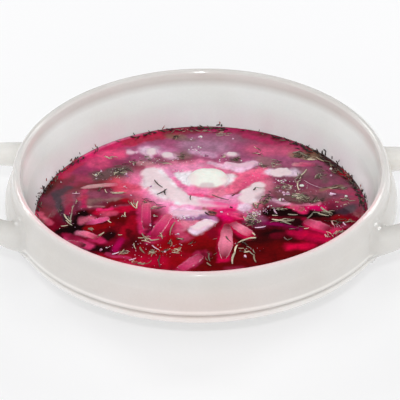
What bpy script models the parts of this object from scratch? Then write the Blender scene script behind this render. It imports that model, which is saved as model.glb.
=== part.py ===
"""A round white dish with two loop handles, filled with cold beet soup.

The soup carries a dollop of sour cream, melted cream, cream curds, strips of
vegetable and chopped dill. Units are metres, +Z is up, the handles lie along X,
and the origin is the centre of the dish's foot, on the surface it stands on.
"""
import math
import random

import bmesh
import bpy
from mathutils import Vector

# ---- Driving dimensions (m) ------------------------------------------------
DISH_HEIGHT = 0.0440        # foot to the top of the rim
DISH_SEGMENTS = 52          # facets round the dish
RIM_LAND_RADIUS = 0.0860    # where the outer wall's rounding starts on the rim
RIM_RADIUS = 0.0875         # outer edge of the rim
MOUTH_RADIUS = 0.0840       # inner wall just under the rim
WALL_RADIUS = 0.0898        # widest point of the outer wall
LEDGE_DEPTH = 0.0219        # the outer wall ends here, measured down from the rim
BEAD_RADIUS = 0.0887        # bead under the outer wall, and its top and bottom
BEAD_TOP = 0.0226
BEAD_BOTTOM = 0.0268
FOOT_OUTER = 0.0598         # foot ring, outer and inner edge
FOOT_INNER = 0.0570
FOOT_RECESS = 0.0018        # height of the hollow inside the foot ring
BAND_DEPTH = 0.0062         # the upright inner band ends here, then the shoulder
SHOULDER_DEPTH = 0.0090
SHOULDER_WIDTH = 0.0018     # how far the shoulder steps in
FLOOR_DEPTH = 0.0392        # the dish's inner floor
SOUP_DEPTH = 0.0287         # from the rim's top down to the soup
SOUP_RADIUS = 0.0782        # of the soup's surface
CLEARANCE = 0.0003          # gap between touching pieces

HANDLE_ROOT_X = 0.0700      # the loop starts here, inside the wall
HANDLE_REACH = 0.0470       # from the root to the middle of the loop's far end
HANDLE_HALF_SPAN = 0.0345   # half the distance between the loop's two arms
HANDLE_ROUNDNESS = 2.6      # 2 is an ellipse, larger is squarer
HANDLE_WIDTH = 0.0118       # seen from above
HANDLE_THICKNESS = 0.0108
HANDLE_THINNING = 0.10      # share of its size the loop loses towards its far end
HANDLE_DEPTH = 0.0175       # of the loop's middle line under the rim, at the root
HANDLE_SLOPE = 0.11         # rise of the loop away from the dish
HANDLE_BRACKET = 0.0030     # how much deeper an arm gets, downwards, at the wall
HANDLE_FLARE = 0.06         # share by which it gets wider there
HANDLE_FLARE_X = 0.0800     # both are full up to here
HANDLE_FLARE_LENGTH = 0.0100
WEB_RADIUS = 0.0915         # outer edge of the web that joins a loop's two arms along the wall
WEB_WIDTH = 0.0084          # of which the outermost part shows
WEB_HEIGHT = 0.0138
WEB_MIDDLE = 0.0260         # height of its middle over the foot
WEB_HALF_ANGLE = 20.8       # degrees, its ends lie inside the arms
WEB_STEPS = 7
HANDLE_STEPS = 18
HANDLE_SIDES = 10

STRIP_RISE = 0.0006         # what of a strip stands above the soup
STRIP_STATIONS = (-0.5, -0.4, 0.0, 0.4, 0.5)    # sections along a strip, as shares of its length
NEEDLE_THICKNESS = 0.0008
NEEDLE_LENGTH = 0.0058
NEEDLE_SEED = 11
NEEDLE_SPACING = 0.0019     # least distance between two needles
# Chopped dill: thicker along the soup's edge at the back and right, and in loose clusters.
RING_NEEDLES = 30
RING_RADIUS = 0.0735
CLUSTERS = (
    # x, y, spread, needles
    (-0.0427, 0.0347, 0.0060, 7),
    (-0.0203, -0.0269, 0.0085, 8),
    (0.0424, 0.0200, 0.0080, 8),
    (0.0400, 0.0010, 0.0070, 6),
    (0.0262, 0.0035, 0.0050, 5),
    (0.0270, -0.0290, 0.0060, 5),
    (-0.0640, -0.0050, 0.0050, 4),
    (-0.0330, 0.0170, 0.0050, 4),
    (0.0330, 0.0480, 0.0060, 3),
    (-0.0020, 0.0620, 0.0080, 3),
    (0.0596, -0.0190, 0.0050, 4),
    (0.0640, 0.0150, 0.0060, 4),
)

SOUP_LEVEL = DISH_HEIGHT - SOUP_DEPTH


# ---- Materials ---------------------------------------------------------------
def material(name, color, roughness):
    """Return the Principled material of that name, made on first use."""
    made = bpy.data.materials.get(name)
    if made is None:
        made = bpy.data.materials.new(name)
        made.use_nodes = True
        shader = made.node_tree.nodes["Principled BSDF"]
        shader.inputs["Base Color"].default_value = (*color, 1.0)
        shader.inputs["Roughness"].default_value = roughness
        shader.inputs["Metallic"].default_value = 0.0
    return made


def white_glaze():
    return material("white_glaze", (0.83, 0.82, 0.79), 0.12)


def beet_broth():
    return material("beet_broth", (0.24, 0.004, 0.03), 0.05)


def thick_cream():
    return material("thick_cream", (0.92, 0.91, 0.87), 0.35)


def melted_cream():
    return material("melted_cream", (0.86, 0.60, 0.72), 0.30)


def stained_strip():
    return material("stained_strip", (0.66, 0.09, 0.24), 0.25)


# ---- Mesh helpers ------------------------------------------------------------
def add_object(name, mesh_data, finish):
    """Wrap a bmesh into a smooth shaded object with one material."""
    bmesh.ops.recalc_face_normals(mesh_data, faces=mesh_data.faces)
    mesh = bpy.data.meshes.new(name)
    mesh_data.to_mesh(mesh)
    mesh_data.free()
    mesh.shade_smooth()
    mesh.set_sharp_from_angle(angle=math.radians(40))
    if finish is not None:
        mesh.materials.append(finish)
    made = bpy.data.objects.new(name, mesh)
    bpy.context.scene.collection.objects.link(made)
    return made


def close_rings(mesh_data, rings, wrap=True):
    """Skin neighbouring rings of vertices with quads."""
    for lower, upper in zip(rings, rings[1:]):
        count = len(lower)
        for i in range(count if wrap else count - 1):
            j = (i + 1) % count
            mesh_data.faces.new((lower[i], lower[j], upper[j], upper[i]))


def lathe(name, profile, segments, finish):
    """Turn (radius, height) points round Z, with both ends closed by a flat face."""
    mesh_data = bmesh.new()
    rings = []
    for radius, height in profile:
        ring = []
        for i in range(segments):
            angle = 2 * math.pi * i / segments
            ring.append(mesh_data.verts.new((radius * math.cos(angle), radius * math.sin(angle), height)))
        rings.append(ring)
    close_rings(mesh_data, rings)
    mesh_data.faces.new(rings[0])
    mesh_data.faces.new(rings[-1])
    return add_object(name, mesh_data, finish)


def sweep(name, spine, sizes, sides, finish, power=2.0):
    """Run a rounded section along a spine.

    sizes gives the section's half width (level, across the spine) and half
    height at each point of the spine; power 2 is an ellipse, larger is squarer.
    """
    mesh_data = bmesh.new()
    rings = []
    last = len(spine) - 1
    for i, (middle, (half_width, half_height)) in enumerate(zip(spine, sizes)):
        along = (spine[min(i + 1, last)] - spine[max(i - 1, 0)]).normalized()
        across = along.cross(Vector((0, 0, 1))).normalized()
        upward = across.cross(along).normalized()
        ring = []
        for k in range(sides):
            angle = 2 * math.pi * (k + 0.5) / sides
            c, s = math.cos(angle), math.sin(angle)
            u = half_width * math.copysign(abs(c) ** (2 / power), c)
            v = half_height * math.copysign(abs(s) ** (2 / power), s)
            ring.append(mesh_data.verts.new(middle + across * u + upward * v))
        rings.append(ring)
    close_rings(mesh_data, rings)
    mesh_data.faces.new(rings[0])
    mesh_data.faces.new(rings[-1])
    return add_object(name, mesh_data, finish)


def combine(target, others, operation):
    """Join or cut target with a collection of objects, then drop the collection."""
    group = bpy.data.collections.new("operands")
    for other in others:
        group.objects.link(other)
    cut = target.modifiers.new("combine", "BOOLEAN")
    cut.operation = operation
    cut.operand_type = "COLLECTION"
    cut.solver = "EXACT"
    cut.collection = group
    mesh = bpy.data.meshes.new_from_object(target.evaluated_get(bpy.context.evaluated_depsgraph_get()))
    mesh.name = target.name
    target.modifiers.clear()
    target.data = mesh
    for other in others:
        bpy.data.objects.remove(other)
    bpy.data.collections.remove(group)


# ---- The dish ------------------------------------------------------------------
def at_depth(pairs):
    """Turn (radius, depth under the rim) pairs into (radius, height) points."""
    return [(radius, DISH_HEIGHT - depth) for radius, depth in pairs]


def outer_profile():
    """The dish's outside as (radius, depth), from its rim down over the bead to the foot."""
    rim = [(RIM_LAND_RADIUS, 0.0), (RIM_LAND_RADIUS + 0.0008, 0.0003), (RIM_RADIUS - 0.0001, 0.0012)]
    wall = [(RIM_RADIUS + 0.0001, 0.0036), (RIM_RADIUS + 0.0009, 0.0100), (WALL_RADIUS - 0.0003, 0.0160),
            (WALL_RADIUS, LEDGE_DEPTH - 0.0024), (WALL_RADIUS - 0.0004, LEDGE_DEPTH - 0.0008),
            (WALL_RADIUS - 0.0010, LEDGE_DEPTH)]
    bead = [(BEAD_RADIUS - 0.0008, BEAD_TOP), (BEAD_RADIUS, BEAD_TOP + 0.0014),
            (BEAD_RADIUS - 0.0001, BEAD_BOTTOM - 0.0012), (BEAD_RADIUS - 0.0014, BEAD_BOTTOM)]
    underside = [(BEAD_RADIUS - 0.0049, BEAD_BOTTOM + 0.0008), (0.0800, 0.0302), (0.0730, 0.0352),
                 (FOOT_OUTER + 0.0018, DISH_HEIGHT - 0.0014)]
    foot = [(FOOT_OUTER, DISH_HEIGHT), (FOOT_INNER, DISH_HEIGHT), (FOOT_INNER - 0.0008, DISH_HEIGHT - FOOT_RECESS)]
    return rim + wall + bead + underside + foot


def inner_wall():
    """The dish's inside as (radius, depth): an upright band, a shoulder, the bowl."""
    band = [(RIM_LAND_RADIUS - 0.0009, 0.0), (MOUTH_RADIUS + 0.0003, 0.0006), (MOUTH_RADIUS, 0.0016),
            (MOUTH_RADIUS, BAND_DEPTH)]
    shoulder = [(MOUTH_RADIUS - SHOULDER_WIDTH / 3, BAND_DEPTH + 0.0012), (MOUTH_RADIUS - SHOULDER_WIDTH, SHOULDER_DEPTH)]
    bowl = [(0.0811, 0.0150), (SOUP_RADIUS, SOUP_DEPTH), (0.0760, 0.0311), (0.0710, 0.0339), (0.0620, 0.0372)]
    return band + shoulder + bowl + [(0.0460, FLOOR_DEPTH)]


def handle_line():
    """Points of a loop handle's middle line at +X, evenly spaced."""
    dense = []
    for i in range(721):
        turn = math.pi * (i / 720 - 0.5)
        c, s = math.cos(turn), math.sin(turn)
        out = HANDLE_REACH * abs(c) ** (2 / HANDLE_ROUNDNESS)
        side = HANDLE_HALF_SPAN * math.copysign(abs(s) ** (2 / HANDLE_ROUNDNESS), s)
        height = DISH_HEIGHT - HANDLE_DEPTH + HANDLE_SLOPE * out
        dense.append(Vector((HANDLE_ROOT_X + out, side, height)))
    run = [0.0]
    for a, b in zip(dense, dense[1:]):
        run.append(run[-1] + (b - a).length)
    line = []
    index = 0
    for step in range(HANDLE_STEPS + 1):
        wanted = run[-1] * step / HANDLE_STEPS
        while index < len(run) - 1 and run[index] < wanted - 1e-9:
            index += 1
        line.append(dense[index])
    return line


def make_web(sign):
    """The web of one handle, a band along the wall from arm to arm."""
    spine = []
    for i in range(WEB_STEPS):
        turn = math.radians(WEB_HALF_ANGLE) * (2 * i / (WEB_STEPS - 1) - 1)
        middle = WEB_RADIUS - WEB_WIDTH / 2
        spine.append(Vector((sign * middle * math.cos(turn), sign * middle * math.sin(turn), WEB_MIDDLE)))
    sizes = [(WEB_WIDTH / 2, WEB_HEIGHT / 2)] * WEB_STEPS
    return sweep("web", spine, sizes, HANDLE_SIDES, None, power=2.2)


def make_handle(name, sign):
    """One loop handle at +X or -X, deeper where its arms meet the wall, cut to the wall's shape."""
    line, sizes = [], []
    for p in handle_line():
        away = max(0.0, p.x - HANDLE_FLARE_X) / HANDLE_FLARE_LENGTH
        nearness = math.exp(-away ** 2)
        lowering = HANDLE_BRACKET / 2 * nearness
        scale = 1 - HANDLE_THINNING * (p.x - HANDLE_ROOT_X) / HANDLE_REACH
        line.append(Vector((sign * p.x, sign * p.y, p.z - lowering)))
        sizes.append((HANDLE_WIDTH / 2 * (scale + HANDLE_FLARE * nearness), HANDLE_THICKNESS / 2 * scale + lowering))
    loop = sweep(name, line, sizes, HANDLE_SIDES, white_glaze(), power=2.2)
    combine(loop, [make_web(sign)], "UNION")
    outside = [(radius + CLEARANCE, height) for radius, height in at_depth(outer_profile())]
    combine(loop, [lathe("outside", outside, DISH_SEGMENTS, None)], "DIFFERENCE")
    return loop


def make_bowl():
    """The dish, turned in one piece from its hollow foot over the rim to its floor."""
    around = list(reversed(outer_profile())) + inner_wall()
    return lathe("bowl", at_depth(around), DISH_SEGMENTS, white_glaze())


# ---- What floats in the soup ------------------------------------------------------
class Strip:
    """A cut strip of vegetable lying level at the soup's surface."""

    def __init__(self, x, y, length, angle, width, height=0.0036, ends=(0.55, 0.55)):
        self.middle = Vector((x, y, 0.0))
        self.length = length
        self.angle = math.radians(angle)
        self.width = width
        self.height = height
        self.ends = ends

    def stations(self, spare=0.0):
        """Spine points and section half sizes, made larger all round by spare."""
        along = Vector((math.cos(self.angle), math.sin(self.angle), 0.0))
        top = SOUP_LEVEL + STRIP_RISE
        spine, sizes = [], []
        for t in STRIP_STATIONS:
            end = self.ends[0] if t < 0 else self.ends[1]
            swell = 1.0 - (1.0 - end) * (abs(t) / 0.5) ** 3
            sag = 0.0009 * (2 * t) ** 2
            reach = t * (self.length + 2 * spare)
            spine.append(self.middle + along * reach + Vector((0, 0, top - self.height / 2 - sag)))
            tip = 0.72 if abs(t) == 0.5 else 1.0
            sizes.append((self.width / 2 * swell * tip + spare, self.height / 2 * tip + spare))
        return spine, sizes

    def build(self, name, finish, spare=0.0):
        spine, sizes = self.stations(spare)
        return sweep(name, spine, sizes, 8, finish, power=3.0)

    def footprint(self):
        """Discs (x, y, radius) that cover the strip, seen from above."""
        spine, sizes = self.stations()
        discs = []
        for i in range(len(spine) - 1):
            for blend in (0.0, 0.33, 0.67, 1.0):
                point = spine[i].lerp(spine[i + 1], blend)
                discs.append((point.x, point.y, max(sizes[i][0], sizes[i + 1][0])))
        return discs


class Pad:
    """A floating pool or lump of cream: an uneven round outline with a domed top."""

    def __init__(self, x, y, radius_x, radius_y, angle=0.0, rise=0.0006, sink=0.0010, wobble=0.08, seed=1,
                 around=18):
        self.x, self.y = x, y
        self.radius_x, self.radius_y = radius_x, radius_y
        self.angle = math.radians(angle)
        self.rise, self.sink = rise, sink
        self.around = around
        draw = random.Random(seed)
        self.waves = [(k, wobble * draw.uniform(0.4, 1.0) / (k - 0.5), draw.uniform(0, 2 * math.pi)) for k in (2, 3, 5)]

    def edge(self, turn, share, spare):
        """The outline's point at an angle, at a share of the full radius."""
        scale = 1.0
        for k, size, phase in self.waves:
            scale += size * math.cos(k * turn + phase)
        u = (self.radius_x * scale + spare) * share * math.cos(turn)
        v = (self.radius_y * scale + spare) * share * math.sin(turn)
        c, s = math.cos(self.angle), math.sin(self.angle)
        return self.x + u * c - v * s, self.y + u * s + v * c

    def build(self, name, finish, spare=0.0):
        """Levels run from the sunk underside, over the edge, to the top."""
        low, high = -(self.sink + spare), self.rise + spare
        levels = [(0.68, low), (1.0, low * 0.15), (0.86, high * 0.70), (0.45, high * 0.96)]
        mesh_data = bmesh.new()
        rings = []
        for share, height in levels:
            ring = []
            for i in range(self.around):
                x, y = self.edge(2 * math.pi * i / self.around, share, spare)
                ring.append(mesh_data.verts.new((x, y, SOUP_LEVEL + height)))
            rings.append(ring)
        close_rings(mesh_data, rings)
        mesh_data.faces.new(rings[0])
        crown = mesh_data.verts.new((self.x, self.y, SOUP_LEVEL + high))
        for i in range(self.around):
            mesh_data.faces.new((rings[-1][i], rings[-1][(i + 1) % self.around], crown))
        return add_object(name, mesh_data, finish)

    def footprint(self):
        """Discs (x, y, radius) that cover the pad, seen from above."""
        size = min(self.radius_x, self.radius_y)
        reach = max(self.radius_x, self.radius_y) - size
        direction = self.angle if self.radius_x >= self.radius_y else self.angle + math.pi / 2
        steps = range(-3, 4)
        return [(self.x + math.cos(direction) * reach * t / 3, self.y + math.sin(direction) * reach * t / 3, size * 1.12)
                for t in steps]


class Stroke:
    """Melted cream drawn out along a line, flat and round ended."""

    def __init__(self, points, half_widths, rise=0.0006, sink=0.0010):
        self.points = [Vector((x, y, 0.0)) for x, y in points]
        self.half_widths = half_widths
        self.rise, self.sink = rise, sink

    def stations(self, spare=0.0):
        """Smooth the line between its points and round off its two ends."""
        steps = 3
        spine, sizes = [], []
        count = len(self.points)
        middle = Vector((0, 0, SOUP_LEVEL + (self.rise - self.sink) / 2))
        half_height = (self.rise + self.sink) / 2 + spare
        for i in range(count - 1):
            p0, p1 = self.points[max(i - 1, 0)], self.points[i]
            p2, p3 = self.points[i + 1], self.points[min(i + 2, count - 1)]
            for k in range(steps if i < count - 2 else steps + 1):
                t = k / steps
                point = 0.5 * (2 * p1 + (p2 - p0) * t + (2 * p0 - 5 * p1 + 4 * p2 - p3) * t * t
                               + (3 * p1 - p0 - 3 * p2 + p3) * t ** 3)
                width = self.half_widths[i] * (1 - t) + self.half_widths[i + 1] * t
                spine.append(point + middle)
                sizes.append((width + spare, half_height))
        for end, inner in ((0, 1), (-1, -2)):
            outward = (spine[end] - spine[inner]).normalized()
            width = sizes[end][0]
            tip = spine[end] + outward * (width * 0.72)
            shoulder = spine[end] + outward * (width * 0.42)
            added = [(shoulder, (width * 0.8, half_height * 0.95)), (tip, (width * 0.35, half_height * 0.6))]
            for point, size in added:
                if end == 0:
                    spine.insert(0, point)
                    sizes.insert(0, size)
                else:
                    spine.append(point)
                    sizes.append(size)
        return spine, sizes

    def build(self, name, finish, spare=0.0):
        spine, sizes = self.stations(spare)
        return sweep(name, spine, sizes, 8, finish, power=2.2)

    def footprint(self):
        """Discs (x, y, radius) that cover the stroke, seen from above."""
        spine, sizes = self.stations()
        return [(p.x, p.y, size[0]) for p, size in zip(spine, sizes)]


def strips():
    """The vegetable strips that reach the surface, by node name."""
    return {
        "strip_pale": Strip(-0.0505, 0.0258, 0.0184, 11, 0.0046, 0.0026, ends=(0.25, 0.9)),
        "strip_left": Strip(-0.0485, -0.0028, 0.0134, 25, 0.0054, ends=(0.75, 0.6)),
        "strip_near_left": Strip(-0.0510, -0.0160, 0.0126, -27, 0.0048, ends=(0.6, 0.8)),
        "strip_edge_left": Strip(-0.0570, -0.0222, 0.0108, -25, 0.0048, ends=(0.5, 0.6)),
        "strip_upright": Strip(-0.0262, 0.0016, 0.0236, -87, 0.0056, ends=(0.8, 0.6)),
        "strip_leaning": Strip(-0.0172, -0.0080, 0.0196, 74, 0.0062, ends=(0.6, 0.7)),
        "strip_leaf": Strip(0.0118, -0.0205, 0.0290, -91, 0.0074, 0.0040, ends=(0.35, 0.15)),
        "strip_chunk": Strip(0.0203, -0.0092, 0.0140, -47, 0.0062, ends=(0.75, 0.8)),
        "strip_front": Strip(-0.0043, -0.0358, 0.0164, 53, 0.0070, ends=(0.8, 0.6)),
        "strip_middle": Strip(0.0160, 0.0030, 0.0094, -19, 0.0042, ends=(0.6, 0.6)),
        "strip_right": Strip(0.0544, -0.0045, 0.0158, -30, 0.0072, ends=(0.8, 0.55)),
        "strip_short": Strip(0.0447, 0.0095, 0.0082, -29, 0.0050, ends=(0.7, 0.8)),
        "strip_back": Strip(0.0471, 0.0467, 0.0138, 0, 0.0043, 0.0030, ends=(0.6, 0.8)),
    }


def creams():
    """The melted cream and the curds at the surface, by node name."""
    return {
        "cream_sweep": Stroke(((-0.0262, 0.0375), (-0.0222, 0.0298), (-0.0160, 0.0215), (-0.0085, 0.0150),
                               (0.0010, 0.0118), (0.0105, 0.0108)), (0.0052, 0.0066, 0.0056, 0.0050, 0.0040, 0.0026)),
        "cream_lobe": Stroke(((0.0262, 0.0272), (0.0234, 0.0225), (0.0202, 0.0168)), (0.0042, 0.0056, 0.0048)),
        "cream_crescent": Stroke(((0.0105, 0.0468), (0.0160, 0.0445), (0.0222, 0.0466)), (0.0018, 0.0026, 0.0022)),
        "cream_pool": Pad(0.0364, 0.0392, 0.0058, 0.0040, seed=4),
        "cream_froth": Pad(-0.0060, 0.0040, 0.0088, 0.0028, angle=4, seed=7),
        "cream_chip": Pad(0.0004, -0.0065, 0.0070, 0.0040, angle=42, rise=0.0008, seed=9),
        "curd_left": Pad(-0.0362, 0.0545, 0.0025, 0.0021, rise=0.0010, seed=12, around=14),
        "curd_tall": Pad(-0.0262, 0.0555, 0.0029, 0.0038, rise=0.0012, seed=13, around=14),
        "curd_round": Pad(-0.0184, 0.0525, 0.0032, 0.0031, rise=0.0012, seed=15, around=14),
        "curd_right": Pad(0.0124, 0.0540, 0.0031, 0.0028, rise=0.0012, seed=16, around=14),
    }


def dollop():
    """The spoonful of sour cream in the middle."""
    return Pad(0.0018, 0.0325, 0.0100, 0.0092, rise=0.0034, sink=0.0030, wobble=0.04, seed=21, around=26)


# ---- The soup -------------------------------------------------------------------
def soup_profile():
    """From the edge of the soup's surface down along the dish, with a small gap."""
    points = [(SOUP_RADIUS - CLEARANCE, SOUP_DEPTH)]
    wet = [p for p in inner_wall() if p[1] >= SOUP_DEPTH]
    for (r0, d0), (r1, d1) in zip(wet, wet[1:]):
        length = math.hypot(r1 - r0, d1 - d0)
        normal = ((d1 - d0) / length, (r0 - r1) / length)
        points.append((r1 - normal[0] * CLEARANCE * 1.15, d1 - normal[1] * CLEARANCE * 1.15))
    return at_depth(points)


def needle(x, y, angle, length, bend):
    """One dill needle, half sunk in the surface, slightly bent."""
    along = Vector((math.cos(angle), math.sin(angle), 0.0))
    across = Vector((-along.y, along.x, 0.0))
    middle = Vector((x, y, SOUP_LEVEL))
    spine = [middle - along * length / 2, middle + across * bend, middle + along * length / 2]
    half = NEEDLE_THICKNESS / 2
    sizes = [(half * 0.7, half * 0.8), (half, half), (half * 0.5, half * 0.6)]
    return sweep("needle", spine, sizes, 4, beet_broth())


def clear_of(x, y, angle, length, taken, placed):
    """Whether a needle keeps off the other pieces, the wall and earlier needles."""
    for t in (-0.5, -0.25, 0.0, 0.25, 0.5):
        px, py = x + math.cos(angle) * length * t, y + math.sin(angle) * length * t
        if math.hypot(px, py) > SOUP_RADIUS - 0.0012:
            return False
        for qx, qy, radius in taken:
            if math.hypot(px - qx, py - qy) < radius + CLEARANCE + 0.0009:
                return False
        for qx, qy in placed:
            if math.hypot(px - qx, py - qy) < NEEDLE_SPACING:
                return False
    return True


def needles(taken):
    """Chopped dill: a ring near the wall and loose clusters, all from one seed."""
    draw = random.Random(NEEDLE_SEED)
    wanted = [(0.0258, -0.0160, math.radians(35), 0.0100), (0.0187, -0.0290, math.radians(82), 0.0110)]
    for i in range(RING_NEEDLES):
        turn = math.radians(-20 + 235 * i / RING_NEEDLES + draw.uniform(-3, 3))
        radius = RING_RADIUS + draw.uniform(-0.0030, 0.0015)
        lean = turn + math.pi / 2 + draw.uniform(-0.7, 0.7)
        wanted.append((radius * math.cos(turn), radius * math.sin(turn), lean, NEEDLE_LENGTH * draw.uniform(0.7, 1.1)))
    for x, y, spread, count in CLUSTERS:
        for _ in range(count):
            wanted.append((x + draw.uniform(-spread, spread), y + draw.uniform(-spread, spread) * 0.8,
                           draw.uniform(0, math.pi), NEEDLE_LENGTH * draw.uniform(0.6, 1.2)))
    placed, made = [], []
    for x, y, angle, length in wanted:
        if not clear_of(x, y, angle, length, taken, placed):
            continue
        for t in (-0.5, -0.25, 0.0, 0.25, 0.5):
            placed.append((x + math.cos(angle) * length * t, y + math.sin(angle) * length * t))
        made.append(needle(x, y, angle, length, draw.uniform(-0.0005, 0.0005)))
    return made


def make_soup(pieces):
    """The soup up to its level, cut round every floating piece, with dill fused on."""
    soup = lathe("soup", soup_profile(), DISH_SEGMENTS, beet_broth())
    cutters = [piece.build("cutter", None, spare=CLEARANCE) for piece in pieces]
    combine(soup, cutters, "DIFFERENCE")
    taken = [disc for piece in pieces for disc in piece.footprint()]
    combine(soup, needles(taken), "UNION")
    return soup


def main():
    for old in list(bpy.data.objects):
        bpy.data.objects.remove(old)
    make_bowl()
    make_handle("loop_right", 1)
    make_handle("loop_left", -1)
    sour_cream = dollop()
    sour_cream.build("sour_cream", thick_cream())
    pieces = [sour_cream]
    for name, piece in creams().items():
        piece.build(name, melted_cream())
        pieces.append(piece)
    for name, piece in strips().items():
        piece.build(name, stained_strip())
        pieces.append(piece)
    make_soup(pieces)


main()
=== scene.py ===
"""Looks for the bowl of cold beet soup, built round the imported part.

Everything is in the part's own frame: +X runs from one loop handle to the
other, +Z points up out of the dish, and the origin is the centre of the foot.
Sizes are in metres, apart from those that are said to be in mm.
"""

import logging
import math
import random
from dataclasses import dataclass, field
from enum import Enum
from functools import cache
from typing import NamedTuple

import bmesh
import bpy
import numpy as np
from mathutils import Matrix, Vector


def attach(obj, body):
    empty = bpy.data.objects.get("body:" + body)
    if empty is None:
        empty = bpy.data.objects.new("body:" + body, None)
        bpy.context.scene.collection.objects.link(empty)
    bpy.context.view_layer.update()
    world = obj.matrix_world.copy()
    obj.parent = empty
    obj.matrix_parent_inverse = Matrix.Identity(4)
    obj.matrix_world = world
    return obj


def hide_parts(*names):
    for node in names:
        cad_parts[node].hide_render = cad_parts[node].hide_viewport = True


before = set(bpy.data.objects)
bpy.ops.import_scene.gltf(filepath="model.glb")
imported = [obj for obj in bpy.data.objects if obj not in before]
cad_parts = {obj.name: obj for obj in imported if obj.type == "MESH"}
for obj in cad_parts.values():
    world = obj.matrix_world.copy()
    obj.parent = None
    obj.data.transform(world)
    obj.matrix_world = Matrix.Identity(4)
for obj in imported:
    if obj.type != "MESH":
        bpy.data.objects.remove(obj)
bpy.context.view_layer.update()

LOG = logging.getLogger("beet_soup")
MM = 0.001
TINY = 1e-9
ROOT = "root"
TINT = "tint"

Pair = tuple[float, float]
Colour = tuple[float, float, float]
Corner = tuple[float, float, float]
Face = tuple[int, ...]
Array = np.ndarray
Socket = bpy.types.NodeSocket
Material = bpy.types.Material


# ---- Colours ----
def linear(colour: Colour) -> Array:
    """Turn a display colour, of 0 to 255, into scene linear values."""
    c = np.asarray(colour, float) / 255
    return np.where(c <= 0.04045, c / 12.92, ((c + 0.055) / 1.055) ** 2.4)


def blend(first: Array, second: Array, share: Array) -> Array:
    """Mix two colours, from the first at a share of 0 to the second at 1."""
    return first * (1 - share) + second * share


class Tone(NamedTuple):
    """A colour of the food, as a screen shows it, from 0 to 255."""

    red: int
    green: int
    blue: int

    @property
    def light(self) -> Array:
        """Give the tone in scene linear values."""
        return linear(self)


PINK = Tone(240, 194, 221)
PEARL = Tone(242, 212, 234)
POWDER = Tone(243, 236, 243)
LILY = Tone(243, 226, 233)
TEA_ROSE = Tone(243, 144, 188)
THISTLE = Tone(225, 172, 209)
SHELL = Tone(241, 159, 201)
ROSY = Tone(242, 110, 145)
NEON = Tone(243, 93, 155)
PETAL = Tone(240, 133, 162)
CANDY = Tone(243, 127, 174)
BISQUE = Tone(214, 160, 163)
MALLOW = Tone(225, 121, 155)
ORCHID = Tone(208, 124, 172)
INK = Tone(25, 3, 5)
PITCH = Tone(3, 3, 3)
BURGUNDY = Tone(93, 3, 33)
OXBLOOD = Tone(108, 3, 18)
WINE = Tone(118, 3, 32)
SHERRY = Tone(93, 3, 4)
LOGANBERRY = Tone(48, 3, 4)
GARNET = Tone(69, 3, 7)
CURRANT = Tone(144, 7, 50)
CARMINE = Tone(147, 3, 14)
CRIMSON = Tone(157, 3, 31)
FIG = Tone(125, 48, 79)
CLARET = Tone(139, 32, 55)
DAMSON = Tone(113, 37, 62)
SLOE = Tone(90, 66, 66)
CLOVE = Tone(64, 42, 56)
ROSE = Tone(200, 40, 95)
CERISE = Tone(214, 21, 84)
CINNABAR = Tone(195, 27, 71)
MAGENTA = Tone(217, 3, 95)
FUCHSIA = Tone(223, 25, 102)
TULIP = Tone(232, 41, 105)
MAROON = Tone(156, 40, 71)
BRICK = Tone(176, 54, 89)
RASPBERRY = Tone(176, 37, 84)
POPPY = Tone(210, 3, 61)
CHERRY = Tone(185, 3, 49)
RUBY = Tone(189, 4, 63)
PURPLE = Tone(173, 3, 82)
MULBERRY = Tone(155, 23, 89)
VIOLET = Tone(139, 3, 76)
PEONY = Tone(210, 57, 111)
BERRY = Tone(205, 67, 91)
RHUBARB = Tone(208, 75, 108)
CORAL = Tone(237, 75, 101)
LIP = Tone(236, 89, 134)
FLAMINGO = Tone(237, 70, 127)
SALMON = Tone(219, 101, 131)
BLUSH = Tone(212, 79, 122)
PUCE = Tone(191, 98, 109)
PLUM = Tone(146, 72, 97)
RUST = Tone(163, 86, 84)
SMOKE = Tone(113, 83, 85)
SLATE = Tone(128, 88, 93)
ASH = Tone(133, 105, 79)
TAUPE = Tone(143, 104, 101)
ASH_ROSE = Tone(195, 128, 140)
MAUVE = Tone(176, 129, 159)
LILAC = Tone(174, 104, 144)
HAZE = Tone(170, 73, 121)
DUSK = Tone(142, 94, 136)
HEATHER = Tone(158, 95, 122)
STRAW = Tone(214, 202, 176)
SAGE = Tone(154, 148, 130)
OLIVE = Tone(104, 92, 74)
KHAKI = Tone(158, 136, 112)
MOSS = Tone(62, 46, 34)
SOOT = Tone(34, 10, 10)
WHITE = Tone(248, 250, 240)
MILK = Tone(243, 220, 226)
SHELL_PINK = Tone(238, 192, 212)
PINK_TINT = Tone(242, 214, 218)
# painted shade of the dollop's dimple
DIMPLE_SHADE = Tone(216, 198, 202)


# ---- Soft edges and noise ----
def smooth(start: float, full: float, value: Array) -> Array:
    """Ramp from 0 to 1 between two edges, without corners."""
    t = np.clip((value - start) / (full - start), 0, 1)
    return t * t * (3 - 2 * t)


def bell(value: Array, middle: float, width: float) -> Array:
    """Rise to 1 at a middle and fall off on both its sides."""
    return np.exp(-(((value - middle) / width) ** 2))


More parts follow.
